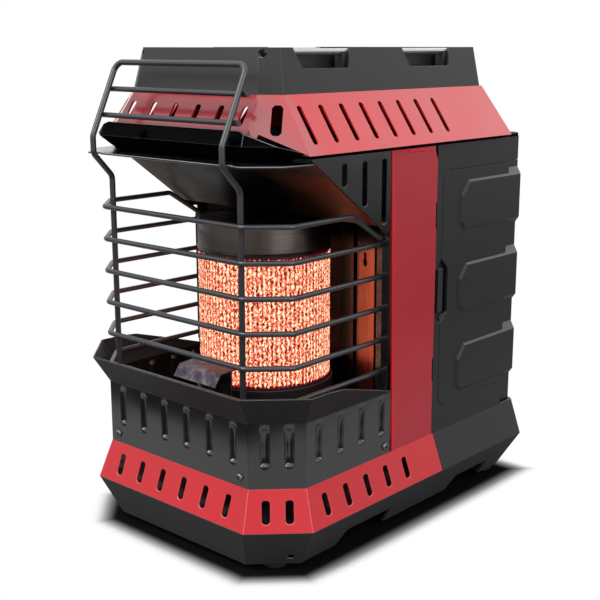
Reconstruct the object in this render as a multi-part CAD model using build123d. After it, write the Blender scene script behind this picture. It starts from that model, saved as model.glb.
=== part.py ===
from build123d import *
from collections import namedtuple
from math import cos, pi, radians, sin, sqrt, tan
import os

os.makedirs("parts", exist_ok=True)

# Portable propane heater. All sizes in millimetres, +Z up, the front faces -Y.
# "d" is a depth measured back from the front edge of the lower band.

# ---------------------------------------------------------------- heights
foot_height = 6.0
plinth_height = 34.8
lower_band_height = 32.2
panel_height = 256.4
deck_height = 3.3
upper_band_height = 42.8
tray_height = 34.5

z_plinth = foot_height + plinth_height
z_band = z_plinth + lower_band_height
z_roof = z_band + panel_height
z_brow = z_roof + deck_height
z_tray = z_brow + upper_band_height
z_top = z_tray + tray_height

# ---------------------------------------------------------------- plan sizes
body_width = 233.0
firebox_depth = 210.5
shell_depth = 138.0
flare = 11.9
rear_flare = 7.5
front_facet = 32.2
hood_slope = 0.717

half_width = body_width / 2
rear_face = firebox_depth + shell_depth
plinth_rear = rear_face + rear_flare

# ---------------------------------------------------------------- materials and fits
sheet = 1.2
reflector_sheet = 0.8
moulding = 2.5
plinth_wall = 2.5
running_fit = 0.05
gap = 0.3
pipe_room = 0.8
far = 500.0

# ---------------------------------------------------------------- guard wire
hoop_wire = 4.4
upright_wire = 4.8
hoop_count = 6
hoop_top_drop = 49.4
hoop_bend = 9.0
upright_nose = 1.7

guard_nose = upright_nose + upright_wire / 2
front_edge = -(plinth_rear - guard_nose) / 2


def at(x, d, z):
    """Point at width x, depth d behind the front edge and height z."""
    return Vector(x, front_edge + d, z)


# ---------------------------------------------------------------- plans of the body
Plan = namedtuple("Plan", "half front facet slope rear cut")


def inset(plan, t):
    """The plan moved inwards by t all round."""
    nose = plan.half - plan.facet - t * (sqrt(1 + plan.slope**2) - 1) / plan.slope
    half = plan.half - t
    cut = max(0.0, plan.cut - (2 - sqrt(2)) * t)
    return Plan(half, plan.front + t, half - nose, plan.slope, plan.rear - t, cut)


def between(low, high, share):
    """The plan part of the way from one plan to another."""
    return Plan(*[a + (b - a) * share for a, b in zip(low, high)])


def skin(rings):
    """Solid with flat faces between rings of points, closed by the first and the last."""
    faces = [make_face(Polyline(*ring, close=True)).face() for ring in (rings[0], rings[-1])]
    for low, high in zip(rings, rings[1:]):
        for k in range(len(low)):
            n = (k + 1) % len(low)
            faces.append(make_face(Polyline(low[k], low[n], high[n], high[k], close=True)).face())
    return Solid(Shell(faces))


def ring_of(plan, z):
    """Corner points of a plan: straight front, slanted facets, straight flanks."""
    nose = plan.half - plan.facet
    flank = plan.front + plan.slope * plan.facet
    right = [(nose, plan.front), (plan.half, flank), (plan.half, plan.rear - plan.cut)]
    if plan.cut:
        right.append((plan.half - plan.cut, plan.rear))
    ring = right + [(-x, d) for x, d in reversed(right)]
    return [at(x, d, z) for x, d in ring]


def frustum(low, z_low, high, z_high):
    """Solid between two plans at two heights."""
    return skin([ring_of(low, z_low), ring_of(high, z_high)])


def side_prism(points, x_low, x_high):
    """Prism along X from an outline of (depth, height) points."""
    face = make_face(Polyline(*[at(x_low, d, z) for d, z in points], close=True))
    return extrude(face, amount=x_high - x_low, dir=(1, 0, 0))


def front_prism(points, d_low, d_high):
    """Prism along Y from an outline of (x, height) points."""
    face = make_face(Polyline(*[at(x, d_low, z) for x, z in points], close=True))
    return extrude(face, amount=d_high - d_low, dir=(0, 1, 0))


def top_prism(points, z_low, z_high):
    """Prism along Z from an outline of (x, depth) points."""
    face = make_face(Polyline(*[at(x, d, z_low) for x, d in points], close=True))
    return extrude(face, amount=z_high - z_low, dir=(0, 0, 1))


def block(x_low, x_high, d_low, d_high, z_low, z_high):
    """Plain block between three pairs of limits."""
    size = (x_high - x_low, d_high - d_low, z_high - z_low)
    centre = at((x_low + x_high) / 2, (d_low + d_high) / 2, (z_low + z_high) / 2)
    return Pos(centre) * Box(*size)


def stock(radius, length, sides):
    """Bar along Z about the origin: a true cylinder, or a prism of as many sides as are asked for."""
    if not sides:
        return Cylinder(radius, length)
    return extrude(Pos(0, 0, -length / 2) * RegularPolygon(radius, sides, major_radius=False), amount=length)


def disc(x, d, z_low, z_high, radius, sides=12):
    """Upright bar or disc."""
    return Pos(at(x, d, (z_low + z_high) / 2)) * stock(radius, z_high - z_low, sides)


def rod_x(x_low, x_high, d, z, radius, sides=12):
    """Bar along X."""
    return Pos(at((x_low + x_high) / 2, d, z)) * Rot(0, 90, 0) * stock(radius, x_high - x_low, sides)


def rod_y(x, d_low, d_high, z, radius, sides=12):
    """Bar along Y."""
    return Pos(at(x, (d_low + d_high) / 2, z)) * Rot(90, 0, 0) * stock(radius, d_high - d_low, sides)


def bent_route(points, bend):
    """Points of a wire's axis, each bend taken in equal short steps of at most 30 degrees."""
    corners = [at(*p) for p in points]
    route = [corners[0]]
    for before, corner, after in zip(corners, corners[1:], corners[2:]):
        into, out = (corner - before).normalized(), (after - corner).normalized()
        turn = into.get_angle(out)
        reach = bend * tan(radians(turn / 2))
        centre = corner + (out - into).normalized() * (bend / cos(radians(turn / 2)))
        top = centre + (corner - centre).normalized() * bend
        arc = ThreePointArc(corner - into * reach, top, corner + out * reach)
        steps = max(2, round(turn / 25))
        route += [arc @ (k / steps) for k in range(steps + 1)]
    return route + [corners[-1]]


def tube_along(points, bend, radius, sides=8):
    """Bent wire or pipe: a many-sided section carried round the route without twist."""
    route = bent_route(points, bend)
    runs = [(b - a).normalized() for a, b in zip(route, route[1:])]
    u = runs[0].cross(Vector(0, 0, 1) if abs(runs[0].Z) < 0.9 else Vector(0, 1, 0)).normalized()
    corner_radius = radius * 1.04
    sections = []
    for i, place in enumerate(route):
        into, out = runs[max(i - 1, 0)], runs[min(i, len(runs) - 1)]
        v = into.cross(u)
        mitre = (into + out).normalized()
        ring = []
        for k in range(sides):
            angle = 2 * pi * (k + 0.5) / sides
            arm = (u * cos(angle) + v * sin(angle)) * corner_radius
            ring.append(place + arm - into * (arm.dot(mitre) / into.dot(mitre)))
        sections.append(ring)
        if into.get_angle(out) > 0.01:
            u = u.rotate(Axis((0, 0, 0), into.cross(out)), into.get_angle(out))
    return skin(sections)


def turned(profile, x, d, sides=32):
    """Upright turned body of many flat sides, from (radius, height) points listed bottom to top."""
    rings = []
    for radius, z in profile:
        turns = [2 * pi * (k + 0.5) / sides for k in range(sides)]
        rings.append([at(x + radius * cos(a), d + radius * sin(a), z) for a in turns])
    return skin(rings)


def mirrored(shape):
    """The same shape on the other side of the middle plane."""
    return mirror(shape, about=Plane.YZ)


def both(shape):
    """A right-hand shape with its mirror image."""
    return shape + mirrored(shape)


def save(name, shape):
    """Write one sub-part to its own STEP file."""
    shape.label = name
    export_step(shape, f"parts/{name}.step")


# ---------------------------------------------------------------- body plans
band_plan = Plan(half_width, flare, front_facet, 1.0, rear_face, 4.0)
wide_plan = Plan(half_width + flare, 0.0, front_facet + 6.5, 1.0, plinth_rear, 12.0)
foot_plan = Plan(half_width - 8.3, 14.5, front_facet - 1.0, 1.0, plinth_rear - 10.0, 12.0)
rim_plan = Plan(half_width + flare, -2.2, front_facet + 7.3, 1.0, rear_face, 4.0)

hood_rear = firebox_depth + 106.5
mansard_low = Plan(half_width + 5.35, 13.3, 41.15, hood_slope, hood_rear, 0.0)
mansard_high = Plan(half_width - 29.0, 39.8, 16.6, hood_slope, hood_rear, 0.0)
tray_low = Plan(half_width - 29.5, 40.0, 16.2, hood_slope, hood_rear - 3.0, 0.0)
tray_high = Plan(half_width - 37.5, 47.3, 12.8, hood_slope, hood_rear - 3.0, 0.0)

# ---------------------------------------------------------------- plinth
slot_clip = 0.24
foot_radius = 11.5
foot_stem = 3.0
foot_boss = 8.5
plinth_deck = 3.0
feet = [(half_width - 32.5, 42.0), (half_width - 23.5, plinth_rear - 28.0)]
arches = [(86.0, 153.0), (plinth_rear - 113.0, plinth_rear - 54.0)]
arch_lean = 9.0
arch_top = foot_height + 15.0
drain = (half_width - 10.9, 37.4, foot_height + 8.0)


def base_pan():
    """Moulded plinth: sloping walls under a deck, arches in the sides, a drain in the right corner."""
    outer = frustum(foot_plan, foot_height, wide_plan, z_plinth)
    deck_share = (plinth_height - plinth_deck) / plinth_height
    hollow_top = inset(between(foot_plan, wide_plan, deck_share), plinth_wall)
    pan = outer - frustum(inset(foot_plan, plinth_wall), foot_height, hollow_top, z_plinth - plinth_deck)
    for front, back in arches:
        arch = [(front, 0), (front + arch_lean, arch_top), (back, arch_top), (back, 0)]
        pan -= side_prism(arch, -far, far)
    pan -= slot_tool(*drain, 4.0, 45, 6.0)
    for x, d in feet:
        for side in (1, -1):
            pan += disc(side * x, d, foot_height, z_plinth - plinth_deck, foot_boss, 8)
            pan -= disc(side * x, d, foot_height, foot_height + 12, foot_stem, 8)
    return pan


def rubber_foot(x, d):
    """Round rubber foot with a stem pushed up into its boss."""
    pad = disc(x, d, 0, foot_height, foot_radius, 12)
    pad = chamfer(pad.edges().group_by(Axis.Z)[0], 1.2)
    return pad + disc(x, d, foot_height, foot_height + 10, foot_stem - 0.1, 8)


def slot_face(length, width):
    """Pierced slot outline with clipped corners, long axis upright."""
    a, b, c = width / 2, length / 2, slot_clip * width
    top = [(a, b - c), (a - c, b), (-a + c, b), (-a, b - c)]
    outline = top + [(-x, -y) for x, y in top]
    return make_face(Polyline(*[Vector(x, y, 0) for x, y in outline], close=True))


def slot_tool(x, d, z, length, heading, width):
    """Cutter for an upright slot in a wall facing heading degrees round from the front."""
    out = Vector(sin(radians(heading)), -cos(radians(heading)), 0)
    along = Vector(cos(radians(heading)), sin(radians(heading)), 0)
    start = Plane(origin=at(x, d, z) - out * 15, x_dir=along, z_dir=out)
    return extrude(start * slot_face(length, width), amount=30)


# ---------------------------------------------------------------- lower band and tub
band_end = firebox_depth + 2.5
band_slot = 17.2
band_slot_width = 6.6
band_slot_z = z_plinth + 15.2
front_slot_pitch = 26.2
side_slot_start = 61.3
side_slot_pitch = (firebox_depth - 80.0) / 5


def lower_band():
    """Flared sheet band round the front and sides, pierced with slots."""
    band = frustum(wide_plan, z_plinth, band_plan, z_band)
    band -= frustum(inset(wide_plan, sheet), z_plinth, inset(band_plan, sheet), z_band - sheet)
    band -= frustum(inset(band_plan, 9), z_band - 2 * sheet, inset(band_plan, 9), z_band + 1)
    band -= block(-far, far, band_end, far, 0, far)
    flange_end = half_width - sheet
    band -= block(-flange_end, flange_end, shield_d - gap, far, z_band - 2 * sheet, z_band)
    middle = between(wide_plan, band_plan, 0.5)
    for i in range(6):
        x = (i - 2.5) * front_slot_pitch
        band -= slot_tool(x, middle.front, band_slot_z, band_slot, 0, band_slot_width)
    facet_x = middle.half - middle.facet / 2
    facet_d = middle.front + middle.facet / 2
    for side in (1, -1):
        for step in (-6.6, 6.6):
            x, d = side * (facet_x + step), facet_d + step
            band -= slot_tool(x, d, band_slot_z, band_slot, side * 45, band_slot_width)
        for i in range(5):
            d = side_slot_start + i * side_slot_pitch
            band -= slot_tool(side * middle.half, d, band_slot_z, band_slot, side * 90, band_slot_width)
    return band


tub_neck = z_band + 54.0
tub_rim = z_band + 77.4
tub_end = 150.0
rib_width = 8.0
rib_depth = 2.5
rib_low = z_band + 18.0
rib_high = z_band + 51.0
rim_drop_start = 75.0
rim_drop_end = 149.0


def pressed_rib(x, d, heading, width, depth, low, high):
    """Upright groove pressed into a wall, with sloping ends."""
    out = Vector(sin(radians(heading)), -cos(radians(heading)), 0)
    along = Vector(cos(radians(heading)), sin(radians(heading)), 0)
    plane = Plane(origin=at(x, d, (low + high) / 2), x_dir=along, z_dir=out)
    tall = high - low
    rings = []
    for sunk, a, b in ((0, width, tall), (depth, width - 1.4 * depth, tall - 2 * depth)):
        level = plane.offset(-sunk)
        corners = [(a / 2, b / 2), (-a / 2, b / 2), (-a / 2, -b / 2), (a / 2, -b / 2)]
        rings.append([level.from_local_coords(Vector(u, v, 0)) for u, v in corners])
    return skin(rings)


def rib_places():
    """Every rib's position on the tub, with the way its wall faces."""
    places = [((i - 2.5) * 27.0, band_plan.front, 0) for i in range(6)]
    facet_x = band_plan.half - band_plan.facet / 2
    facet_d = band_plan.front + band_plan.facet / 2
    for side in (1, -1):
        places += [(side * (facet_x + s), facet_d + s, side * 45) for s in (-6.8, 6.8)]
        places += [(side * band_plan.half, 59.0 + i * 26.4, side * 90) for i in range(4)]
    return places


def burner_tub():
    """Black sheet tub in front of the burner: upright ribbed wall under a flared rim."""
    inner_band = inset(band_plan, sheet)
    inner_rim = inset(rim_plan, sheet)
    tub = frustum(band_plan, z_band, band_plan, tub_neck) + frustum(band_plan, tub_neck, rim_plan, tub_rim)
    tub -= frustum(inner_band, z_band, inner_band, tub_neck)
    tub -= frustum(inner_band, tub_neck, inner_rim, tub_rim)
    tub -= block(-far, far, tub_end, far, 0, far)
    for x, d, heading in rib_places():
        tub += pressed_rib(x, d, heading, rib_width + 2, rib_depth + sheet, rib_low - 1, rib_high + 1)
        tub -= pressed_rib(x, d, heading, rib_width, rib_depth, rib_low, rib_high)
    taper = [(rim_drop_start, tub_rim), (rim_drop_start, far), (far, far), (far, tub_neck - far / 4),
             (rim_drop_end, tub_neck + 0.8)]
    return tub - side_prism(taper, -far, far)


# ---------------------------------------------------------------- firebox sheet work
shield_d = firebox_depth - 3.5
floor_z = z_band + 15.0
mixing_tube_z = z_plinth + 23.2
mixing_tube_radius = 12.0
pilot_line_x = -30.0
pilot_line_z = z_plinth + 9.2
pilot_x = 5.0
pilot_d = 46.0
pilot_pipe = 2.0
burner_d = 118.7
post_rear = 145.8
post_width = 7.0
post_lip = 7.0
lip_back = 2.2
post_d = post_rear - sheet
hoop_tail = half_width - 10.5
roof_z = z_roof - 57.4
slope_start = 49.3
slope_end = 128.0
hood_fall = (z_roof - roof_z) / (slope_end - slope_start)
knee_z = z_roof - 65.5
post_top = knee_z - 4.9
cheek_slot_width = 6.4
cheek_slots = [(87.9, 23.6), (112.6, 41.4), (137.2, 58.3)]


def firebox_floor():
    """Sheet floor of the tub and firebox with holes for the mixing tube and pilot pipe."""
    plan = inset(band_plan, sheet)
    plate = frustum(plan, floor_z, plan, floor_z + sheet)
    plate -= block(-far, far, shield_d, far, 0, far)
    plate -= disc(0, burner_d, floor_z - 1, floor_z + 5, mixing_tube_radius + pipe_room)
    return plate - disc(pilot_x, pilot_d, floor_z - 1, floor_z + 5, pilot_pipe + gap)


def heat_shield():
    """Upright sheet between the firebox and the cylinder bay."""
    inner = half_width - sheet
    plate = block(-inner, inner, shield_d, shield_d + sheet, z_plinth, z_roof)
    plate -= rod_y(0, shield_d - 2, shield_d + 4, mixing_tube_z, mixing_tube_radius + pipe_room)
    return plate - rod_y(pilot_line_x, shield_d - 2, shield_d + 4, pilot_line_z, pilot_pipe + gap)


def deflector():
    """Sheet hood over the burner: falls back from the brow, then runs flat to the heat shield."""
    inner = half_width - sheet - 0.3
    top = [(slope_start + 4.7, z_roof - hood_fall * 4.7), (slope_end, roof_z), (shield_d, roof_z)]
    under = [(d, z - sheet) for d, z in reversed(top)]
    return side_prism(top + under, -inner, inner)


def cheek():
    """Right cheek: slotted sheet triangle under the roof, with a folded post that takes the hoops' ends."""
    half = half_width
    low = tub_rim - 17.0
    knee_d = slope_start + (z_roof - knee_z) / hood_fall
    outline = [(slope_start, z_roof), (post_rear, z_roof), (post_rear, knee_z), (knee_d, knee_z)]
    plate = side_prism(outline, half - sheet, half)
    for d, drop in cheek_slots:
        length = drop - 5.8
        plate -= slot_tool(half, d, z_roof - drop + length / 2, length, 90, cheek_slot_width)
    inner, tie = half - post_width, half - 4.5
    front = [
        (inner, rib_high + 2), (half - sheet, rib_high + 2), (half - sheet, low), (half, low),
        (half, post_top), (half - 3, post_top), (half - 3, knee_z), (half, knee_z),
        (half, roof_z - 1.5), (tie, roof_z - 1.5), (tie, post_top), (inner, post_top - 4),
    ]
    plate += front_prism(front, post_d, post_rear)
    edge = inner - post_lip
    lip = [(inner, post_d), (inner, post_rear), (edge, post_rear + lip_back), (edge, post_d + lip_back)]
    plate += top_prism(lip, rib_high + 2, post_top - 4)
    for i in range(1, hoop_count):
        plate -= rod_y(hoop_tail, post_d - 3, post_rear + 5, hoop_z(i), hoop_wire / 2 + gap, 8)
    return plate


panel_front = post_rear + 0.2
panel_foot = post_rear + 6.2
hem = 3.2
hem_proud = 0.8
notch_heights = [(z_roof - 71.4, z_roof - 48.4), (z_band + 49, z_band + 70)]


def side_panel():
    """Right red side panel: flat sheet with a raised front and top edge, a slit and two rear notches."""
    rear = firebox_depth
    corner = [(rear - 7, z_roof), (panel_front, z_roof)]
    outline = [(panel_foot, z_band), (rear, z_band), (rear, z_roof - 12), (rear - 5, z_roof - 1)] + corner
    panel = side_prism(outline, half_width - sheet, half_width)
    raised = [(panel_foot, z_band), (panel_foot + hem, z_band), (panel_front + hem, z_roof - hem),
              (rear - 9, z_roof - hem)] + corner
    panel += side_prism(raised, half_width, half_width + hem_proud)
    slit_front, slit_rear = panel_front + 2.5, panel_front + 23
    panel -= block(half_width, half_width + 2, slit_front, slit_rear, z_roof - 2.6, z_roof - 1.4)
    for low, high in notch_heights:
        panel -= block(half_width - 5, half_width + 5, rear - 1.2, rear + 5, low, high)
    return panel


reflector_slots = [(96.5, 151.4, 3.3), (56.3, 175.0, 3.3)]
keyhole = (74.8, 165.7, z_roof - 95.4)


def reflector():
    """Bent polished sheet behind the burner, in facets, with upright slots and a keyhole each side."""
    points = [(103.0, post_rear + lip_back + gap), (94.0, 155.0), (62.0, 172.5), (30.0, 186.0)]
    shift = half_width - 116.5
    right = [(x + shift, d) for x, d in points]
    front = right + [(-x, d) for x, d in reversed(right)]
    rear = [(x, d + 1.2 * reflector_sheet) for x, d in reversed(front)]
    plate = top_prism(front + rear, floor_z + sheet, roof_z - sheet - gap)
    for x, d, half in reflector_slots:
        cut = block(x + shift - half, x + shift + half, d - 8, d + 8, z_band + 47, roof_z - 12)
        plate -= both(cut)
    x, d, z = keyhole
    for low, radius in ((z - 3.5, 3.6), (z + 2.5, 2.6)):
        plate -= both(rod_y(x + shift, d - 8, d + 8, low, radius, 8))
    return plate


# ---------------------------------------------------------------- burner
screen_radius = 57.7
screen_low = z_band + 55.6
cap_height = 26.3
cap_radius = 56.0
burner_top = roof_z - 3.4
screen_high = burner_top - cap_height
distributor_radius = 14.0


def burner_base():
    """Spun dish that stands on the floor and carries the screen."""
    low = floor_z + sheet
    bore = mixing_tube_radius + pipe_room
    rim = screen_radius + 2.3
    dish = turned([(38, low), (rim, screen_low - 10.6), (rim, screen_low)], 0, burner_d)
    dish -= turned([(30, screen_low - 20), (rim - 4, screen_low)], 0, burner_d)
    return dish - disc(0, burner_d, low - 1, screen_low, bore)


def burner_screen():
    """Cylinder of heat-proof mesh that glows when the heater runs."""
    outer = turned([(screen_radius, screen_low), (screen_radius, screen_high)], 0, burner_d, 40)
    inner = screen_radius - 1
    return outer - turned([(inner, screen_low), (inner, screen_high)], 0, burner_d, 40)


def burner_cap():
    """Spun steel cap that closes the screen."""
    r, low, high = cap_radius, screen_high, burner_top
    lip = screen_radius + 0.8
    cap = turned([(lip, low), (lip, low + 2), (r, low + 2.2), (r, high - 3), (r - 3, high)], 0, burner_d)
    return cap - turned([(r - 1.2, low), (r - 1.2, high - 3.4), (r - 3.4, high - 1.2)], 0, burner_d)


def distributor():
    """Slotted tube that spreads the gas inside the screen and carries the cap."""
    low, high = screen_low - 20, burner_top - 1.2
    r = distributor_radius
    tube = disc(0, burner_d, low, high, r) - disc(0, burner_d, low - 1, high + 1, r - 1.5)
    for z in range(5):
        height = screen_low + 12 + z * (screen_high - screen_low - 12) / 5
        tube -= block(-30, 30, burner_d - 3, burner_d + 3, height, height + 12)
    return tube


def mixing_tube():
    """Pipe that draws air round the jet and turns up into the burner."""
    mouth_d = shield_d + 14
    points = [(0, mouth_d, mixing_tube_z), (0, burner_d, mixing_tube_z), (0, burner_d, screen_low - 20)]
    outer = tube_along(points, 18, mixing_tube_radius, 12)
    return outer - tube_along(points, 18, mixing_tube_radius - 1.5, 12)


injector_d = shield_d + 18
injector_radius = 5.0


def injector():
    """Brass jet aimed into the mixing tube."""
    body = rod_y(0, injector_d, injector_d + 14, mixing_tube_z, injector_radius)
    return body + rod_y(0, injector_d - 8, injector_d, mixing_tube_z, 2.5)


def injector_bracket():
    """Sheet angle that stands the jet on the plinth deck."""
    plate = block(-12, 12, injector_d + 4, injector_d + 4 + sheet, z_plinth, mixing_tube_z + 10)
    foot = block(-12, 12, injector_d + 4, injector_d + 16, z_plinth, z_plinth + sheet)
    return plate + foot - rod_y(0, injector_d, injector_d + 10, mixing_tube_z, injector_radius + running_fit)


# ---------------------------------------------------------------- pilot
pilot_z = z_band + 56.0


def pilot_shield():
    """Small bent canopy over the pilot flame, on a leg from the floor."""
    top = pilot_z + 21
    canopy = side_prism([(30, top - 10), (36, top - 1), (52, top), (52, top + sheet), (35.5, top + 0.2),
                         (29, top - 9.2)], pilot_x - 25, pilot_x + 25)
    leg = block(pilot_x - 20, pilot_x + 20, 52, 52 + sheet, floor_z + sheet, top + sheet)
    shelf = block(pilot_x - 20, pilot_x + 20, 38, 52, pilot_z - 8, pilot_z - 8 + sheet)
    shelf -= disc(pilot_x, pilot_d, pilot_z - 12, pilot_z, pilot_pipe + 0.1)
    for side in (1, -1):
        shelf -= disc(pilot_x + side * 12, pilot_d, pilot_z - 12, pilot_z, 1.6)
    return canopy + leg + shelf


def pilot_burner():
    """Brass pilot head on its pipe end."""
    head = disc(pilot_x, pilot_d, pilot_z - 8 + sheet, pilot_z + 8, 4.0)
    return head - disc(pilot_x, pilot_d, pilot_z, pilot_z + 10, 2.6)


def thermocouple():
    """Probe whose tip stands in the pilot flame."""
    tip = disc(pilot_x + 12, pilot_d, pilot_z - 16, pilot_z + 12, 1.5)
    return tip + disc(pilot_x + 12, pilot_d, pilot_z - 8 + sheet, pilot_z - 3, 3.0)


def spark_electrode():
    """Ceramic rod with a wire tip beside the pilot."""
    rod = disc(pilot_x - 12, pilot_d, pilot_z - 16, pilot_z + 4, 1.5)
    rod += disc(pilot_x - 12, pilot_d, pilot_z - 8 + sheet, pilot_z - 1, 3.0)
    return rod + disc(pilot_x - 12, pilot_d, pilot_z + 4, pilot_z + 11, 0.8)


# ---------------------------------------------------------------- hood
visor_half = half_width + 7.1
visor_nose = Plan(visor_half, 10.6, 40.6, hood_slope, 90.0, 0.0)
visor_sheet = 1.5
brow_sheet = 1.5
brow_top = z_roof - 3.4
brow_z = brow_top - brow_sheet
brow_centre = half_width - 39.9
brow_rise = 17.8


def visor():
    """Bent sheet apron under the upper band: leans out, then folds back under itself."""
    levels = [(16.5, brow_top), (8.4, z_roof + 2.8), (0.0, z_roof + 9.9), (4.6, z_roof + 22.0)]
    apron = None
    hollow = None
    for (low_t, low_z), (high_t, high_z) in zip(levels, levels[1:]):
        outer = frustum(inset(visor_nose, low_t), low_z, inset(visor_nose, high_t), high_z)
        low_in, high_in = low_t + visor_sheet, high_t + visor_sheet
        inner = frustum(inset(visor_nose, low_in), low_z, inset(visor_nose, high_in), high_z)
        apron = outer if apron is None else apron + outer
        hollow = inner if hollow is None else hollow + inner
    apron -= hollow
    apron -= block(-far, far, mansard_low.front + hood_slope * mansard_low.facet - gap, far, 0, far)
    apron -= front_prism(brow_edge(z_tray), -far, far)
    return apron & block(-half_width - visor_sheet, half_width + visor_sheet, -far, far, 0, far)


def brow_edge(end):
    """Outline from the upper band's lower edge up or down to a height, seen from the front."""
    half, low, high = mansard_low.half, z_brow, z_brow + brow_rise
    return [(-half, low), (-brow_centre, high), (brow_centre, high), (half, low), (half, end), (-half, end)]


def brow_plate():
    """Level sheet lip under the visor that the hot air leaves by."""
    half = half_width
    right = [(half_width - 27.1, 3.0), (half_width - 4.5, 25.0), (half, 50.0), (half, 54.0)]
    points = right + [(-x, d) for x, d in reversed(right)]
    plate = top_prism(points, brow_z, brow_z + brow_sheet)
    reach = upright_wire / 2 + gap
    return plate - both(block(upright_x - reach, upright_x + reach, 0, 6.5, brow_z - 1, brow_z + 9))


def roof_deck():
    """Flat sheet between the walls under the upper band, with a skirt all round."""
    inside = moulding + gap
    plan = Plan(half_width - inside, 40.0, 24.0, hood_slope, rear_face - inside, 4.0)
    deck = frustum(plan, z_roof, plan, z_brow)
    inner = inset(plan, 3.0)
    return deck - frustum(inner, z_roof - 1, inner, z_brow - 1.5)


brow_slot = (14.0, 6.3)
facet_slot = (21.5, 8.6)
hood_slot_pitch = 26.0
side_slot_width = 5.5
side_slot_lean = 3.5
side_slots = [60.0 + 24.2 * i for i in range(8)]


def leaning_slot(top):
    """Outline of a side slot in the upper band: clipped corners, its lower end further forward."""
    low, high_z, low_z = top - side_slot_lean, z_tray - 8.2, z_brow + 7.4
    a = side_slot_width / 2
    c = slot_clip * side_slot_width
    rear = [(low + a, low_z + c), (top + a, high_z - c), (top + a - c, high_z), (top - a + c, high_z)]
    return rear + [(top - a, high_z - c), (low - a, low_z + c), (low - a + c, low_z), (low + a - c, low_z)]


def upper_band():
    """Mansard sheet band round the hood, pierced with slots, with flanges top and bottom."""
    band = frustum(mansard_low, z_brow, mansard_high, z_tray)
    low, high = inset(mansard_low, 1.6 * sheet), inset(mansard_high, 1.6 * sheet)
    band -= frustum(low, z_brow + sheet, high, z_tray - sheet)
    band -= frustum(inset(mansard_high, 9), z_tray - 5, inset(mansard_high, 9), z_tray + 5)
    band -= frustum(inset(mansard_low, 16), z_brow - 5, inset(mansard_low, 16), z_brow + 5)
    band -= front_prism(brow_edge(z_roof), -far, mansard_low.front + hood_slope * mansard_low.facet)
    for i in range(6):
        length, width = brow_slot
        band -= slot_tool((i - 2.5) * hood_slot_pitch, 26, z_brow + 27, length, 0, width)
    for side in (1, -1):
        length, width = facet_slot
        band -= slot_tool(side * (half_width - 23.5), 37, z_brow + 24.6, length, side * 35.6, width)
        for top in side_slots:
            low_x, high_x = sorted((side * (half_width - 40), side * (half_width + 20)))
            band -= side_prism(leaning_slot(top), low_x, high_x)
    return band


tray_wall = 3.0
tie_bar_x = half_width - 41.5
tie_bar_z = z_top - 3.2
tie_bar_radius = 2.5
notches = [(68.0, 138.0), (hood_rear - 113.5, hood_rear - 41.0)]
notch_deep = 16.0
facet_hole = 0.78


def top_tray():
    """Open moulded tray on top, with two notches in each side and lugs for the tie bars."""
    tray = frustum(tray_low, z_tray, tray_high, z_top)
    tray -= frustum(inset(tray_low, tray_wall), z_tray + tray_wall, inset(tray_high, tray_wall), z_top)
    for front, rear in notches:
        foot = z_top - notch_deep
        notch = [(front, z_top + 5), (front + 10, foot), (rear - 5, foot), (rear, z_top + 5)]
        tray -= side_prism(notch, -far, far)
        for side in (1, -1):
            wall_x = side * (tray_high.half - 1.0)
            for d in (front - 4, rear - 9):
                low_x, high_x = sorted((side * (tie_bar_x - 4.5), wall_x))
                tray += block(low_x, high_x, d, d + 9, foot - 1, tie_bar_z)
                seat = tie_bar_radius + 0.1
                middle = side * tie_bar_x
                tray -= block(middle - seat, middle + seat, d - 1, d + 10, tie_bar_z - seat, z_top)
    for side in (1, -1):
        tray -= rod_y(side * (tray_high.half - tray_high.facet * facet_hole), 40, 60, z_top - 4.5, 3.0, 8)
    return tray


def tie_bar(side, front, rear):
    """Steel bar across a notch, lying in its two lugs."""
    return rod_y(side * tie_bar_x, front - 4, rear, tie_bar_z, tie_bar_radius)


# ---------------------------------------------------------------- guard
hoop_half = half_width - 7.7
hoop_front = 11.8
hoop_facet_x = half_width - 34.5
hoop_facet_d = 38.6
hoop_pitch = (roof_z - (tub_rim - 7.3)) / 4.71
hoop_first = z_roof - hoop_top_drop


def hoop_z(i):
    """Height of a hoop, counted from the top one."""
    return hoop_first - i * hoop_pitch


def guard_hoop(i):
    """Bent wire hoop: across the front, back along both sides, ends in the posts' flanges."""
    z = hoop_z(i)
    right = [(hoop_facet_x, hoop_front, z), (hoop_half, hoop_facet_d, z)]
    if i:
        right.append((hoop_tail, post_rear + 3, z))
    else:
        right += [(hoop_half, 107, z), (hoop_half, post_d - 1.6, hoop_z(1) + hoop_wire + 0.8)]
    points = [(-x, d, h) for x, d, h in reversed(right)] + right
    return tube_along(points, hoop_bend, hoop_wire / 2)


upright_x = half_width - 40.7
upright_d = hoop_front + (hoop_wire + upright_wire) / 2 + 0.1


lean_low = z_roof + 10.6
lean_high = z_top - 12.0
lean_back = 25.4
lean_fall = (lean_back + upright_nose) / (lean_high - lean_low)


def guard_upright_loop():
    """Two uprights inside the hoops, joined over the top in one bent wire."""
    side = [(upright_d, tub_rim - 18.4), (upright_d, z_roof - 23.4), (-upright_nose, z_roof - 3.9),
            (-upright_nose, lean_low), (lean_back, lean_high)]
    right = [(upright_x, d, z) for d, z in side]
    points = right + [(-x, d, z) for x, d, z in reversed(right)]
    return tube_along(points, 8, upright_wire / 2)


def guard_bar(z):
    """Straight wire across the back of the uprights' leaning stretch."""
    behind = ((hoop_wire + upright_wire) / 2 + 0.1) * sqrt(1 + lean_fall**2)
    d = (z - lean_low) * lean_fall - upright_nose + behind
    return rod_x(-upright_x - 5, upright_x + 5, d, z, hoop_wire / 2, 8)


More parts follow.
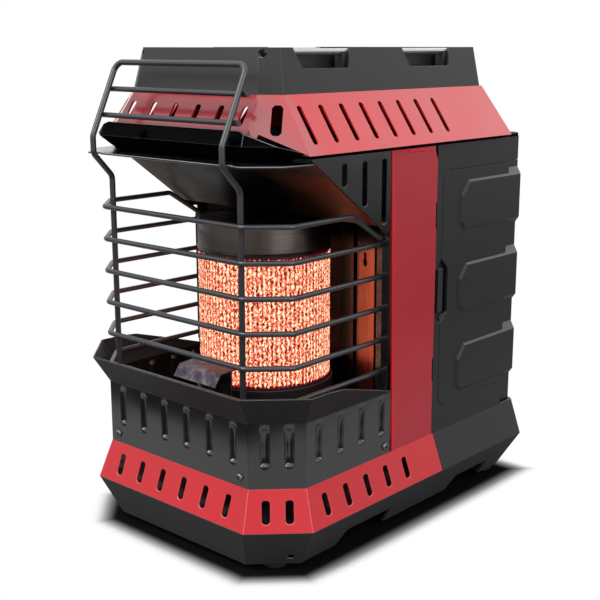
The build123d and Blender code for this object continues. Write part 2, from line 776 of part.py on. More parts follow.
# ---------------------------------------------------------------- rear shell and door
bay_x = half_width - 59.5
bay_d = rear_face - 67.5
door_low = z_band + 23.0
door_high = z_roof - 22.4
door_front = firebox_depth + 9.0
door_gap = 0.6
step_d = rear_face - 25.5
step_in = 4.5
door_return = half_width - 30.5
door_corner = 9.0
latch_low = z_band + 100
latch_high = z_band + 158
latch_front = firebox_depth - 0.5
latch_rear = firebox_depth + 18.5
latch_clip = 9.0
hinge_x = half_width - 34.5
hinge_d = rear_face + 3.8
knuckle_radius = 3.4
pin_radius = 1.5
knuckle_length = 12.0
hinge_heights = [door_low + 30, door_high - 30]


def shell_plan(x_in, inset_by):
    """Right half of the shell seen from above, with the shallow step before the back corner."""
    x = half_width - inset_by
    rear = rear_face - inset_by
    return [
        (x_in, firebox_depth), (x, firebox_depth), (x, step_d), (x - step_in, step_d + 1.5),
        (x - step_in, rear - 3), (x - step_in - 3, rear), (x_in, rear),
    ]


def shell_half():
    """Right half shell: flared foot under upright side and back walls."""
    outer = top_prism(shell_plan(0, 0), z_band, z_roof)
    outer -= top_prism(shell_plan(-1, moulding), z_band - 1, z_roof + 1)
    low = frustum(wide_plan, z_plinth, band_plan, z_band)
    low -= frustum(inset(wide_plan, moulding), z_plinth, inset(band_plan, moulding), z_band)
    low -= block(-far, 0, -far, far, 0, far)
    low -= block(-1, far, -far, firebox_depth + 3, 0, far)
    return outer + low


def latch_outline():
    """Elongated hexagon of the finger recess."""
    middle = (latch_front + latch_rear) / 2
    low, high = latch_low + latch_clip, latch_high - latch_clip
    return [
        (middle, latch_low), (latch_rear, low), (latch_rear, high),
        (middle, latch_high), (latch_front, high), (latch_front, low),
    ]


def door_outline(grow):
    """Door seen from the side: rounded front corners, running on past the back corner."""
    front, low, high, c = door_front - grow, door_low - grow, door_high + grow, door_corner
    points = [(front + 0.3 * c, low + 0.3 * c), (front, low + c)]
    points += [(front, high - c), (front + 0.3 * c, high - 0.3 * c), (front + c, high)]
    return points + [(far, high), (far, low), (front + c, low)]


def door_space(grow):
    """Everything on the door's side of its outline, round to its edge on the back."""
    return side_prism(door_outline(grow), door_return - grow, half_width + 20)


def rear_shell_right():
    """Right half shell with the door opening, latch recess floor and hinge knuckles."""
    shell = shell_half() - door_space(door_gap)
    shell -= side_prism(latch_outline(), half_width - 8, half_width + 5)
    wall = half_width - moulding
    strike = block(wall - 4.4, wall - 2.9, firebox_depth, door_front - 2, latch_low - 6, latch_high + 6)
    for low, high in ((latch_low - 6, latch_low - 3), (latch_high + 3, latch_high + 6)):
        strike += block(wall - 4.4, wall, firebox_depth, door_front - 2, low, high)
    shell += strike
    for z in hinge_heights:
        for low in (z - 1.5 * knuckle_length - gap, z + 0.5 * knuckle_length + gap):
            high = low + knuckle_length
            shell += disc(hinge_x, hinge_d, low, high, knuckle_radius)
            shell += block(hinge_x - knuckle_radius, hinge_x + 2, rear_face - 1, hinge_d, low, high)
            shell -= disc(hinge_x, hinge_d, low - 1, high + 1, pin_radius + 0.02, 8)
    return shell


def cylinder_door():
    """Moulded door that wraps the back corner, with raised pads, latch rails and knuckles."""
    wall = half_width - moulding
    plate = top_prism(shell_plan(0, 0), z_band, z_roof)
    plate -= top_prism(shell_plan(-1, moulding), z_band - 1, z_roof + 1)
    plate = plate & door_space(0)
    pad_tall = (door_high - door_low) * 0.205
    for i in range(3):
        low = door_low + 8 + i * (door_high - door_low) * 0.353
        plate += door_pad(low, low + pad_tall)
    for low, high, groove in ((latch_low - 3, latch_low + 7, 1), (latch_high - 7, latch_high + 3, -1)):
        rail = block(wall - 7.0, wall, door_front + 3, door_front + 24, low, high)
        slot_low = low + 5.7 if groove == 1 else low - 1.4
        rail -= block(wall - 4.9, wall - 2.1, door_front, door_front + 24.5, slot_low, slot_low + 5.7)
        plate += rail
    plate -= side_prism(latch_outline(), half_width - 4.5, half_width + 5)
    for z in hinge_heights:
        low, high = z - knuckle_length / 2, z + knuckle_length / 2
        plate += disc(hinge_x, hinge_d, low, high, knuckle_radius)
        plate += block(hinge_x, door_return + 5, rear_face + 0.4, hinge_d, low, high)
        plate += block(door_return, door_return + 5, rear_face - 1, hinge_d, low, high)
        plate -= disc(hinge_x, hinge_d, low - 1, high + 1, pin_radius + running_fit, 0)
    return plate


def door_pad(low, high):
    """Raised pad with broad sloping edges on the door's side face, running back over the step."""
    rings = []
    for out, grow in ((-step_in, 5.0), (1.6, -1.5)):
        front, rear = door_front + 27.5 - grow, rear_face - 6.2 + grow / 2
        below, above = low - grow, high + grow
        outline = [(front + 4, below), (rear, below), (rear, above), (front + 10, above),
                   (front, above - 12), (front, below + 6)]
        rings.append([at(half_width + out, d, z) for d, z in outline])
    return skin(rings) - top_prism(shell_plan(-1, moulding), z_band, z_roof)


def door_latch():
    """Sliding latch: carriage plate in the door's rails with a finger tongue."""
    wall = half_width - moulding
    plate = block(wall - 4.6, wall - 2.4, door_front - 1.7, door_front + 18, latch_low + 3, latch_high - 3)
    tongue = latch_clip + 0.5
    return plate + block(wall - 2.4, wall + 0.6, door_front - 1.7, door_front + 5.3, latch_low + tongue,
                         latch_high - tongue)


def hinge_pin(z):
    """Steel pin through three knuckles."""
    return disc(hinge_x, hinge_d, z - 1.5 * knuckle_length - 1, z + 1.5 * knuckle_length + 1, pin_radius, 0)


knob_d = bay_d
knob_z = z_roof - 79.4
knob_radius = 24.0
stem_radius = 4.0
button_z = knob_z - 50
button_radius = 6.5
panel_wall = 2.0
panel_half = 31.0
panel_low = button_z - 20
panel_high = knob_z + 33
panel_deep = 7.5
panel_flange = 5.0
panel_floor = -half_width + panel_deep


def rear_shell_left():
    """Left half shell with the rectangular hole for the control panel."""
    room = panel_wall + gap
    return mirrored(shell_half()) - block(
        -half_width - 1, -half_width + moulding + 1, knob_d - panel_half - room, knob_d + panel_half + room,
        panel_low - room, panel_high + room)


def control_panel():
    """Moulded dish let into the left shell, with a flange round it and holes for the stem and igniter."""
    wall = -half_width

    def level(x_low, x_high, grow):
        front, rear = knob_d - panel_half - grow, knob_d + panel_half + grow
        return block(x_low, x_high, front, rear, panel_low - grow, panel_high + grow)

    dish = level(wall - 1.5, wall, panel_flange) + level(wall, panel_floor + panel_wall, panel_wall)
    dish -= level(wall - 2, panel_floor, 0)
    dish -= rod_x(wall, wall + 20, knob_d, knob_z, stem_radius + 1)
    return dish - rod_x(wall, wall + 20, knob_d, button_z, button_radius + 2)


# ---------------------------------------------------------------- cylinder bay
cradle_z = z_band + 11.0
inlet_radius = 12.7
inlet_outer = 17.0
inlet_mouth = z_roof - 30.4
inlet_depth = 12.5
regulator_radius = 27.0
bulkhead_x = -3.0


def cylinder_cradle():
    """Moulded stand under the cylinder, dished for its base."""
    right, rear = half_width - 7.5, rear_face - 6
    cradle = block(bulkhead_x, right, shield_d + sheet, rear, z_plinth, cradle_z)
    cradle -= block(0, right - 3, shield_d + sheet + 3, rear - 3, z_plinth - 1, cradle_z - 3)
    cradle -= block(-20, 22, shield_d - 1, injector_d + 44, z_plinth - 1, cradle_z - 3)
    return cradle - disc(bay_x, bay_d, cradle_z - 1.2, cradle_z + 1, 46, 24)


def bay_bulkhead():
    """Upright sheet between the cylinder bay and the controls."""
    plate = block(bulkhead_x, bulkhead_x + sheet, shield_d + sheet, rear_face - 6, cradle_z, z_roof)
    return plate - rod_x(bulkhead_x - 2, bulkhead_x + 4, bay_d, supply_z, supply_radius + gap)


seal_radius = 8.0
seal_height = 2.0
supply_z = z_roof - 10.5
supply_radius = 3.0
regulator_low = inlet_mouth + inlet_depth + seal_height + 1.6


def inlet_collar():
    """Brass collar that the cylinder's valve screws up into."""
    bottom = inlet_mouth + inlet_depth
    collar = disc(bay_x, bay_d, inlet_mouth, regulator_low, inlet_outer, 12)
    collar -= disc(bay_x, bay_d, inlet_mouth - 1, bottom, inlet_radius, 24)
    collar -= disc(bay_x, bay_d, bottom - 1, bottom + seal_height, seal_radius + gap, 12)
    return collar - disc(bay_x, bay_d, inlet_mouth, regulator_low + 1, 2, 8)


def inlet_seal():
    """Rubber ring at the bottom of the collar's bore."""
    low, high = inlet_mouth + inlet_depth, inlet_mouth + inlet_depth + seal_height
    return disc(bay_x, bay_d, low, high, seal_radius, 12) - disc(bay_x, bay_d, low - 1, high + 1, 4, 12)


def regulator_body():
    """Cast body of the regulator with its outlet boss."""
    body = disc(bay_x, bay_d, regulator_low, z_roof - 6.5, regulator_radius, 24)
    return body + rod_x(bay_x - regulator_radius - 5, bay_x - regulator_radius + 4, bay_d, supply_z, 3.5)


def regulator_cap():
    """Diaphragm cover clamped on the regulator."""
    low = z_roof - 6.5
    rim = disc(bay_x, bay_d, low, low + 2, regulator_radius, 24)
    return rim + disc(bay_x, bay_d, low + 2, low + 4.5, 20, 24)


def regulator_bracket():
    """Sheet angle on the bulkhead that the regulator hangs in."""
    left = bulkhead_x + sheet
    shelf = block(left, bay_x + 34, bay_d - 30, bay_d + 30, regulator_low - 1.6, regulator_low)
    shelf -= disc(bay_x, bay_d, regulator_low - 4, regulator_low + 4, inlet_outer + running_fit, 12)
    return shelf + block(left, left + 1.6, bay_d - 30, bay_d + 30, regulator_low - 30, regulator_low)


# ---------------------------------------------------------------- controls
valve_x = -half_width + 19.5
valve_long = 32.0
valve_tall = 36.0
valve_mid = valve_x + valve_long / 2
plunger_radius = 6.0


def control_valve():
    """Cast valve block with a bore for the plunger and ports for three pipes."""
    low, high = knob_z - valve_tall / 2, knob_z + valve_tall / 2
    body = block(valve_x, valve_x + valve_long, knob_d - 16, knob_d + 16, low, high)
    body -= rod_x(valve_x - 1, valve_x + 18, knob_d, knob_z, plunger_radius + running_fit, 16)
    body += disc(valve_mid, knob_d, high, high + 6, 5)
    return body


def valve_bracket():
    """Sheet angle that ties the valve to the bulkhead."""
    high = knob_z - valve_tall / 2
    arm = block(valve_x + valve_long - 8, bulkhead_x, knob_d + 2, knob_d + 16, high - 1.6, high)
    return arm + block(bulkhead_x - 1.6, bulkhead_x, knob_d + 2, knob_d + 16, high - 24, high)


def valve_plunger():
    """Sliding brass plunger that the stem pushes."""
    plug = rod_x(valve_x + 2, valve_x + 12, knob_d, knob_z, plunger_radius, 16)
    return plug - rod_x(valve_x, valve_x + 7, knob_d, knob_z, stem_radius + running_fit, 0)


def valve_stem():
    """Steel stem from the plunger out to the knob."""
    return rod_x(-half_width - 4, valve_x + 6.9, knob_d, knob_z, stem_radius, 0)


def control_knob():
    """Round knob with a raised grip bar."""
    outer_x = -half_width - 9.5
    inner_x = -half_width + 3.5
    skirt = rod_x(outer_x + 6, inner_x, knob_d, knob_z, knob_radius, 24)
    grip = block(outer_x, outer_x + 6.5, knob_d - 5, knob_d + 5, knob_z - 19, knob_z + 19)
    knob = skirt + chamfer(grip.edges().filter_by(Axis.X), 3)
    return knob - rod_x(-half_width - 4, inner_x + 1, knob_d, knob_z, stem_radius + 0.02, 0)


def igniter_body():
    """Piezo igniter clamped in the control panel's floor."""
    face = panel_floor
    r = button_radius + 1.9
    body = rod_x(face - 1.2, face + 20, knob_d, button_z, r)
    body += rod_x(face - 2.0, face, knob_d, button_z, r + 2.6)
    body += rod_x(face + panel_wall, face + panel_wall + 3, knob_d, button_z, r + 2.6)
    return body - rod_x(face - 3, face + 14, knob_d, button_z, button_radius + running_fit, 16)


def igniter_button():
    """Push button of the piezo igniter."""
    return rod_x(panel_floor - 9.5, panel_floor + 8, knob_d, button_z, button_radius, 16)


def supply_tube():
    """Pipe from the regulator across to the valve."""
    start = bay_x - regulator_radius - 5
    high = knob_z + valve_tall / 2 + 6
    return tube_along([(start, bay_d, supply_z), (valve_mid, bay_d, supply_z), (valve_mid, bay_d, high)], 15,
                      supply_radius)


def burner_feed_tube():
    """Pipe from the valve down to the jet."""
    low = knob_z - valve_tall / 2
    jet_end = injector_d + 14
    points = [(valve_mid, knob_d, low), (valve_mid, knob_d, mixing_tube_z),
              (valve_mid, jet_end + 18, mixing_tube_z), (0, jet_end + 18, mixing_tube_z),
              (0, jet_end, mixing_tube_z)]
    return tube_along(points, 10, supply_radius)


def pilot_tube():
    """Thin pipe from the valve under the floor and up to the pilot."""
    x, d = valve_mid + 10, knob_d - 11
    points = [(x, d, knob_z - valve_tall / 2), (x, d, pilot_line_z), (pilot_line_x, d, pilot_line_z),
              (pilot_line_x, pilot_d, pilot_line_z), (pilot_x, pilot_d, pilot_line_z),
              (pilot_x, pilot_d, pilot_z - 8 + sheet)]
    return tube_along(points, 8, pilot_pipe, 6)


# ---------------------------------------------------------------- tip-over switch
tip_x = -half_width + 30
tip_d = firebox_depth + 30
tip_pivot_z = z_plinth + 30
tip_pin = 1.5


def tip_switch_frame():
    """Bracket on the plinth deck that the pendulum hangs in."""
    base = block(tip_x - 12, tip_x + 12, tip_d - 12, tip_d + 12, z_plinth, z_plinth + 2)
    for side in (1, -1):
        low, high = sorted((tip_x + side * 10, tip_x + side * 12))
        base += block(low, high, tip_d - 6, tip_d + 6, z_plinth, tip_pivot_z + 6)
        base -= rod_x(low - 1, high + 1, tip_d, tip_pivot_z, tip_pin + running_fit, 0)
    return base


def tip_pendulum():
    """Pendulum with its pivot pin, free to swing when the heater tilts."""
    pin = rod_x(tip_x - 12, tip_x + 12, tip_d, tip_pivot_z, tip_pin, 0)
    arm = block(tip_x - 2, tip_x + 2, tip_d - 3, tip_d + 3, z_plinth + 12, tip_pivot_z + 3)
    return pin + arm + disc(tip_x, tip_d, z_plinth + 6, z_plinth + 16, 7)


save("base_pan", base_pan())
save("rubber_feet", Compound(children=[rubber_foot(side * x, d) for x, d in feet for side in (1, -1)]))
save("lower_band", lower_band())
save("burner_tub", burner_tub())
save("firebox_floor", firebox_floor())
save("heat_shield", heat_shield())
save("deflector", deflector())
save("cheek_right", cheek())
save("cheek_left", mirrored(cheek()))
save("side_panel_right", side_panel())
save("side_panel_left", mirrored(side_panel()))
save("reflector", reflector())
save("burner_base", burner_base())
save("burner_screen", burner_screen())
save("burner_cap", burner_cap())
save("distributor", distributor())
save("mixing_tube", mixing_tube())
save("injector", injector())
save("injector_bracket", injector_bracket())
save("pilot_shield", pilot_shield())
save("pilot_burner", pilot_burner())
save("thermocouple", thermocouple())
save("spark_electrode", spark_electrode())
save("visor", visor())
save("brow_plate", brow_plate())
save("roof_deck", roof_deck())
save("upper_band", upper_band())
save("top_tray", top_tray())
save("tie_bars", Compound(children=[tie_bar(side, *notch) for notch in notches for side in (1, -1)]))
save("guard_top_hoop", guard_hoop(0))
save("guard_hoops", Compound(children=[guard_hoop(i) for i in range(1, hoop_count)]))
save("guard_uprights", guard_upright_loop())
save("guard_bars", Compound(children=[guard_bar(z_top - drop) for drop in (33.4, 53.6)]))
save("rear_shell_right", rear_shell_right())
save("rear_shell_left", rear_shell_left())
save("control_panel", control_panel())
save("cylinder_door", cylinder_door())
save("door_latch", door_latch())
save("hinge_pins", Compound(children=[hinge_pin(z) for z in hinge_heights]))
save("cylinder_cradle", cylinder_cradle())
save("bay_bulkhead", bay_bulkhead())
save("inlet_collar", inlet_collar())
save("inlet_seal", inlet_seal())
save("regulator_body", regulator_body())
save("regulator_cap", regulator_cap())
save("regulator_bracket", regulator_bracket())
save("control_valve", control_valve())
save("valve_bracket", valve_bracket())
save("valve_plunger", valve_plunger())
save("valve_stem", valve_stem())
save("control_knob", control_knob())
save("igniter_body", igniter_body())
save("igniter_button", igniter_button())
save("supply_tube", supply_tube())
save("burner_feed_tube", burner_feed_tube())
save("pilot_tube", pilot_tube())
save("tip_switch_frame", tip_switch_frame())
save("tip_pendulum", tip_pendulum())
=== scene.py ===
from math import cos, pi, radians, sin, tan

import bmesh
import bpy
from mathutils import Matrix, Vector, noise


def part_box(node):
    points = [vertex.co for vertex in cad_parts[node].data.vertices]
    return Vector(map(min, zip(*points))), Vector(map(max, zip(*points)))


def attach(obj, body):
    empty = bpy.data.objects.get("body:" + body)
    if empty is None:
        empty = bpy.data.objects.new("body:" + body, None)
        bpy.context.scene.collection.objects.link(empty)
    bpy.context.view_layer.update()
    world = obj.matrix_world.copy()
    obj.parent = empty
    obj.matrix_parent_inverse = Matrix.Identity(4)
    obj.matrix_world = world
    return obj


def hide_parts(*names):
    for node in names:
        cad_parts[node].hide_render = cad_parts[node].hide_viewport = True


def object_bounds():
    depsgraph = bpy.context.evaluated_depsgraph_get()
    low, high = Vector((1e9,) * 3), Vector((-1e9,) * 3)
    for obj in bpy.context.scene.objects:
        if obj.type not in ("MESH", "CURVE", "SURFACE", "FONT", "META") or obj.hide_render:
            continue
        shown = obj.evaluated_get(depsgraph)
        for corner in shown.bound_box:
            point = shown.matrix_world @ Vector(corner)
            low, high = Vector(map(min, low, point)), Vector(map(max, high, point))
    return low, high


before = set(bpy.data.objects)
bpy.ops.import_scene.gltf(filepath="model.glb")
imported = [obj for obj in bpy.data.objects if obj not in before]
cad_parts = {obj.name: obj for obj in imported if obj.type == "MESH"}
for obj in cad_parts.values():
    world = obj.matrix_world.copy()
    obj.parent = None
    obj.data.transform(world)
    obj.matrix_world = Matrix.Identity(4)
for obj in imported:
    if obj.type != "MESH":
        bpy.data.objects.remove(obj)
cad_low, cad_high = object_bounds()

# ---------------------------------------------------------------- plinth
# The plinth is one injection moulding in black polypropylene, open below, with two arches in each
# side. Its tool was spark-eroded, so the skin is finely pebbled and only the edges catch the light.
MM = 0.001
POLYPROPYLENE_IOR = 1.49


def linear(colour):
    """An sRGB hex colour as linear red, green, blue and alpha."""
    parts = [int(colour[i:i + 2], 16) / 255 for i in (1, 3, 5)]
    return tuple(c / 12.92 if c <= 0.04045 else ((c + 0.055) / 1.055) ** 2.4 for c in parts) + (1.0,)


def add(material, kind, settings=None, links=None):
    """Adds a shader node with its settings and links, by socket name or number."""
    node = material.node_tree.nodes.new("ShaderNode" + kind)
    for key, value in (settings or {}).items():
        if isinstance(key, int) or key in node.inputs:
            node.inputs[key].default_value = value
        else:
            setattr(node, key, value)
    for key, source in (links or {}).items():
        material.node_tree.links.new(source, node.inputs[key])
    return node


def finish_named(name):
    """A new material with an empty node tree."""
    material = bpy.data.materials.new(name)
    material.use_nodes = True
    material.node_tree.nodes.clear()
    return material


def shader_of(material):
    """The shader of a finish."""
    return next(node for node in material.node_tree.nodes if node.type == "BSDF_PRINCIPLED")


def lay_over(material, colour, mask):
    """Lays another colour over a finish where a mask node says."""
    skin = shader_of(material).inputs["Base Color"]
    fresh = skin.links[0].from_socket
    laid = add(material, "Mix", {"data_type": "RGBA", 7: linear(colour)}, {0: mask.outputs[0], 6: fresh})
    material.node_tree.links.new(laid.outputs[2], skin)


edge_highlights = {}
CORNER_SHADE_MM = 3.0


def paint_edge_highlight(material, colour):
    """A copy of a finish for rolled edges, with a painted highlight where they face up and stand clear of
    corners.
    """
    edge = material.copy()
    edge.name = material.name + "_edge"
    open_air = add(edge, "AmbientOcclusion", {"samples": 4, "Distance": CORNER_SHADE_MM * MM})
    outer = add(edge, "MapRange", {1: 0.7, 2: 0.92}, {0: open_air.outputs["AO"]})
    facing = add(edge, "SeparateXYZ", links={0: add(edge, "NewGeometry").outputs["Normal"]})
    upward = add(edge, "MapRange", {1: 0.1, 2: 0.55}, {0: facing.outputs[2]})
    caught = add(edge, "Math", {"operation": "MULTIPLY"}, {0: outer.outputs[0], 1: upward.outputs[0]})
    # Painted highlight: the edge copy is laid paler where it faces up, clear of corners.
    lay_over(edge, colour, caught)
    edge_highlights[material.name] = edge


def pebbled_plastic(name, colours, roughness, highlight_colour, grain_mm=0.7, relief_mm=0.05):
    """Moulded plastic with a spark-eroded skin: an even colour, broken gloss and fine pebbles.
    Corners get painted shade, and faces that lie upwards get a pale painted top light. The real grain
    is near 0.2 mm, and is drawn coarser so that it shows."""
    material = finish_named(name)
    place = add(material, "TexCoord").outputs["Object"]
    pebbles = add(material, "TexNoise", {"Scale": 1 / (grain_mm * MM), "Detail": 2.0}, {"Vector": place})
    clouds = add(material, "TexNoise", {"Scale": 1 / (45 * MM), "Detail": 3.0}, {"Vector": place})
    dark, pale = linear(colours[0]), linear(colours[1])
    tone = add(material, "Mix", {"data_type": "RGBA", 6: dark, 7: pale}, {0: clouds.outputs[0]})
    gloss = add(material, "MapRange", {1: 0.3, 2: 0.7, 3: roughness - 0.05, 4: roughness + 0.07},
                {0: pebbles.outputs[0]})
    bump = add(material, "Bump", {"Strength": 0.6, "Distance": relief_mm * MM},
               {"Height": pebbles.outputs[0]})
    # Painted shade: corners are darkened by ambient occlusion.
    open_air = add(material, "AmbientOcclusion", {"samples": 4, "Distance": CORNER_SHADE_MM * MM})
    corners = add(material, "MapRange", {1: 0.4, 2: 0.9, 3: 0.35}, {0: open_air.outputs["AO"]})
    tone = add(material, "Mix", {"data_type": "RGBA", "blend_type": "MULTIPLY", 0: 1.0},
               {6: tone.outputs[2], 7: corners.outputs[0]})
    shell = add(material, "BsdfPrincipled", {"IOR": POLYPROPYLENE_IOR, "Specular IOR Level": 0.42},
                {"Base Color": tone.outputs[2], "Roughness": gloss.outputs[0], "Normal": bump.outputs[0]})
    # Painted top light: faces that lie upwards are laid paler.
    facing = add(material, "SeparateXYZ", links={0: add(material, "NewGeometry").outputs["Normal"]})
    top_light_mask = add(material, "MapRange", {1: 0.38, 2: 0.8, 4: 0.22}, {0: facing.outputs[2]})
    lay_over(material, highlight_colour, top_light_mask)
    add(material, "OutputMaterial", links={0: shell.outputs[0]})
    # The rolled edges get a painted highlight, in a paler copy of this finish.
    paint_edge_highlight(material, highlight_colour)
    return material


def whole_faces(*nodes):
    """One mesh with copies of CAD nodes, their triangles joined back into flats."""
    shape = bmesh.new()
    for node in nodes:
        shape.from_mesh(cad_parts[node].data)
    bmesh.ops.remove_doubles(shape, verts=shape.verts, dist=1e-6)
    bmesh.ops.dissolve_limit(shape, angle_limit=radians(0.4), verts=shape.verts, edges=shape.edges)
    return shape


def piece(name, shape, material, body, slot, *nodes):
    """Links a finished mesh as a piece that rides on a body and stands for CAD nodes."""
    mesh = bpy.data.meshes.new(name)
    shape.to_mesh(mesh)
    shape.free()
    made = bpy.data.objects.new(name, mesh)
    bpy.context.scene.collection.objects.link(made)
    mesh.materials.append(material)
    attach(made, body)
    if nodes:
        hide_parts(*nodes)
    return made


def roll(made, radius_mm, sharper_than=24.0):
    """Rolls a piece's sharp edges to a small radius, in the copy of its finish with a painted highlight."""
    rolled = made.modifiers.new("rolled", "BEVEL")
    rolled.width = radius_mm * MM
    rolled.segments = 2
    rolled.limit_method = "ANGLE"
    rolled.angle_limit = radians(sharper_than)
    rolled.harden_normals = True
    # The rolled faces take the copy of the finish with the painted edge highlight.
    highlight_copy = edge_highlights.get(made.data.materials[0].name)
    if highlight_copy:
        made.data.materials.append(highlight_copy)
        rolled.material = 1


CREASE = 14.0


def rolled_edges(name, radius_mm, material, body, slot, *nodes):
    """A CAD node's own shape with its sharp edges rolled."""
    shape = whole_faces(*nodes)
    for face in shape.faces:
        face.smooth = True
    for edge in shape.edges:
        edge.smooth = len(edge.link_faces) == 2 and edge.calc_face_angle(0) < radians(CREASE)
    roll(piece(name, shape, material, body, slot, *nodes), radius_mm)


black_polypropylene = pebbled_plastic("black_polypropylene_spark_eroded", ("#19191b", "#212123"), 0.48,
                                      "#a6a7ac")
rolled_edges("plinth", 0.7, black_polypropylene, "housing", "black_moulding", "base_pan")

# ---------------------------------------------------------------- feet
# Four round rubber feet, each with a stem pushed up into a boss of the plinth. Moulded rubber is
# dull and soaks up light, with a faint painted top light.
rubber = pebbled_plastic("moulded_rubber", ("#0e0e0f", "#161617"), 0.8, "#202022", 0.5, 0.03)
rolled_edges("feet", 0.5, rubber, "housing", "rubber", "rubber_feet")

# ---------------------------------------------------------------- lower band
# The lower band is pierced and folded from 1.2 mm steel sheet and sprayed with red enamel. The
# coat is glossy with a slight orange peel, and has a painted highlight along each fold.
ENAMEL_IOR = 1.52


def enamelled(name, colours, roughness, coat, highlight_colour, peel_mm=2.2, relief_mm=0.012, shine=0.5):
    """Stoved enamel on sheet: two close tones, orange peel, and a clear coat where it is glossy."""
    material = finish_named(name)
    place = add(material, "TexCoord").outputs["Object"]
    peel = add(material, "TexNoise", {"Scale": 1 / (peel_mm * MM), "Detail": 1.0}, {"Vector": place})
    drift = add(material, "TexNoise", {"Scale": 1 / (60 * MM), "Detail": 4.0}, {"Vector": place})
    dark, pale = linear(colours[0]), linear(colours[1])
    tone = add(material, "Mix", {"data_type": "RGBA", 6: dark, 7: pale}, {0: drift.outputs[0]})
    gloss = add(material, "MapRange", {1: 0.35, 2: 0.65, 3: roughness - 0.03, 4: roughness + 0.05},
                {0: drift.outputs[0]})
    bump = add(material, "Bump", {"Strength": 0.5, "Distance": relief_mm * MM},
               {"Height": peel.outputs[0]})
    paint = add(material, "BsdfPrincipled",
                {"IOR": ENAMEL_IOR, "Specular IOR Level": shine, "Coat Weight": coat,
                 "Coat Roughness": 0.12},
                {"Base Color": tone.outputs[2], "Roughness": gloss.outputs[0], "Normal": bump.outputs[0]})
    add(material, "OutputMaterial", links={0: paint.outputs[0]})
    # The rolled edges get a painted highlight, in a paler copy of this finish.
    paint_edge_highlight(material, highlight_colour)
    return material


red_enamel = enamelled("red_stoved_enamel", ("#c2151f", "#ce1d28"), 0.3, 0.2, "#f08088", shine=0.4)
rolled_edges("slotted_band_low", 0.35, red_enamel, "housing", "red_paint", "lower_band")

# ---------------------------------------------------------------- tub
# The tub is folded from black enamelled sheet: an upright wall stiffened by pressed ribs, under a
# flared rim. It stands in the band and is held by pan-head screws. The enamel is glossy on the
# wall, and the heat has dulled it on the rim.
FRONT_EDGE = -175.95
SHEET_MM = 1.2


def at(x, d, z):
    """Point at width x, depth d behind the front edge and height z, all in millimetres."""
    return Vector((x, FRONT_EDGE + d, z)) * MM


black_enamel = enamelled("black_satin_enamel", ("#17171a", "#1f1f22"), 0.13, 0.0, "#9a9ba0", shine=0.8)
flare_enamel = enamelled("black_matt_enamel", ("#202022", "#29292b"), 0.5, 0.0, "#9a9ba0", shine=0.12)

# The plans of the wall and of the lip, from the back of one side round to the back of the other.
TUB_LOW, TUB_NECK, TUB_RIM = 73.0, 127.0, 150.4
TUB_WALL = [(-116.5, 150.0), (-116.5, 44.1), (-84.3, 11.9), (84.3, 11.9), (116.5, 44.1), (116.5, 150.0)]
TUB_LIP = [(-128.4, 150.0), (-128.4, 37.3), (-88.9, -2.2), (88.9, -2.2), (128.4, 37.3), (128.4, 150.0)]
RIB_WIDTH, RIB_SINK, RIB_LOW, RIB_HIGH = 8.0, 2.2, 91.0, 124.0
RIB_FOOT, RIB_HEAD, FLARE_ROWS, TUB_CREASE = 3.0, 5.0, 4, 26.0
FRONT_RIBS, FRONT_PITCH, FACET_PITCH = 6, 27.0, 19.2
SIDE_RIBS, SIDE_PITCH, FIRST_SIDE_RIB = 4, 26.4, 59.0

# Columns across a rib in shares of its width, and rows up it, which are close where it runs out.
RIB_STEPS = (-0.62, -0.5, -0.42, -0.3, -0.15, 0.0, 0.15, 0.3, 0.42, 0.5, 0.62)
RIB_ROWS = (91, 91.4, 91.9, 92.5, 93.1, 93.6, 94, 100, 110, 119, 120, 121, 122, 123, 124)
TAPER_START, TAPER_END, TAPER_FALL = 75.0, 149.0, 22.6


def rib_depth(across, z):
    """How far a rib is pressed in, across its width (-0.5 to 0.5) and at a height."""
    low, high = (z - RIB_LOW) / RIB_FOOT, (RIB_HIGH - z) / RIB_HEAD
    ends = max(0.0, min(1.0, low, high))
    ends = ends * ends * (3 - 2 * ends)
    side = cos(across * pi) ** 0.8 if abs(across) < 0.5 else 0.0
    return RIB_SINK * ends * side


def tub_stations():
    """Every column of the wall: its run, its share along the run, and its place across a rib."""
    columns = []
    sides = [FIRST_SIDE_RIB + k * SIDE_PITCH for k in range(SIDE_RIBS)]
    for run in range(5):
        (xa, da), (xb, db) = TUB_WALL[run], TUB_WALL[run + 1]
        long = ((xb - xa) ** 2 + (db - da) ** 2) ** 0.5
        if run in (0, 4):
            ribs = [abs(d - da) for d in sides]
        elif run == 2:
            ribs = [long / 2 + (k - (FRONT_RIBS - 1) / 2) * FRONT_PITCH for k in range(FRONT_RIBS)]
        else:
            ribs = [(long - FACET_PITCH) / 2, (long + FACET_PITCH) / 2]
        spots = {0.0: 0.5, long: 0.5}
        for rib in ribs:
            spots.update({rib + step * RIB_WIDTH: step for step in RIB_STEPS})
        columns += [(run, spot / long, spots[spot]) for spot in sorted(spots)]
    return columns


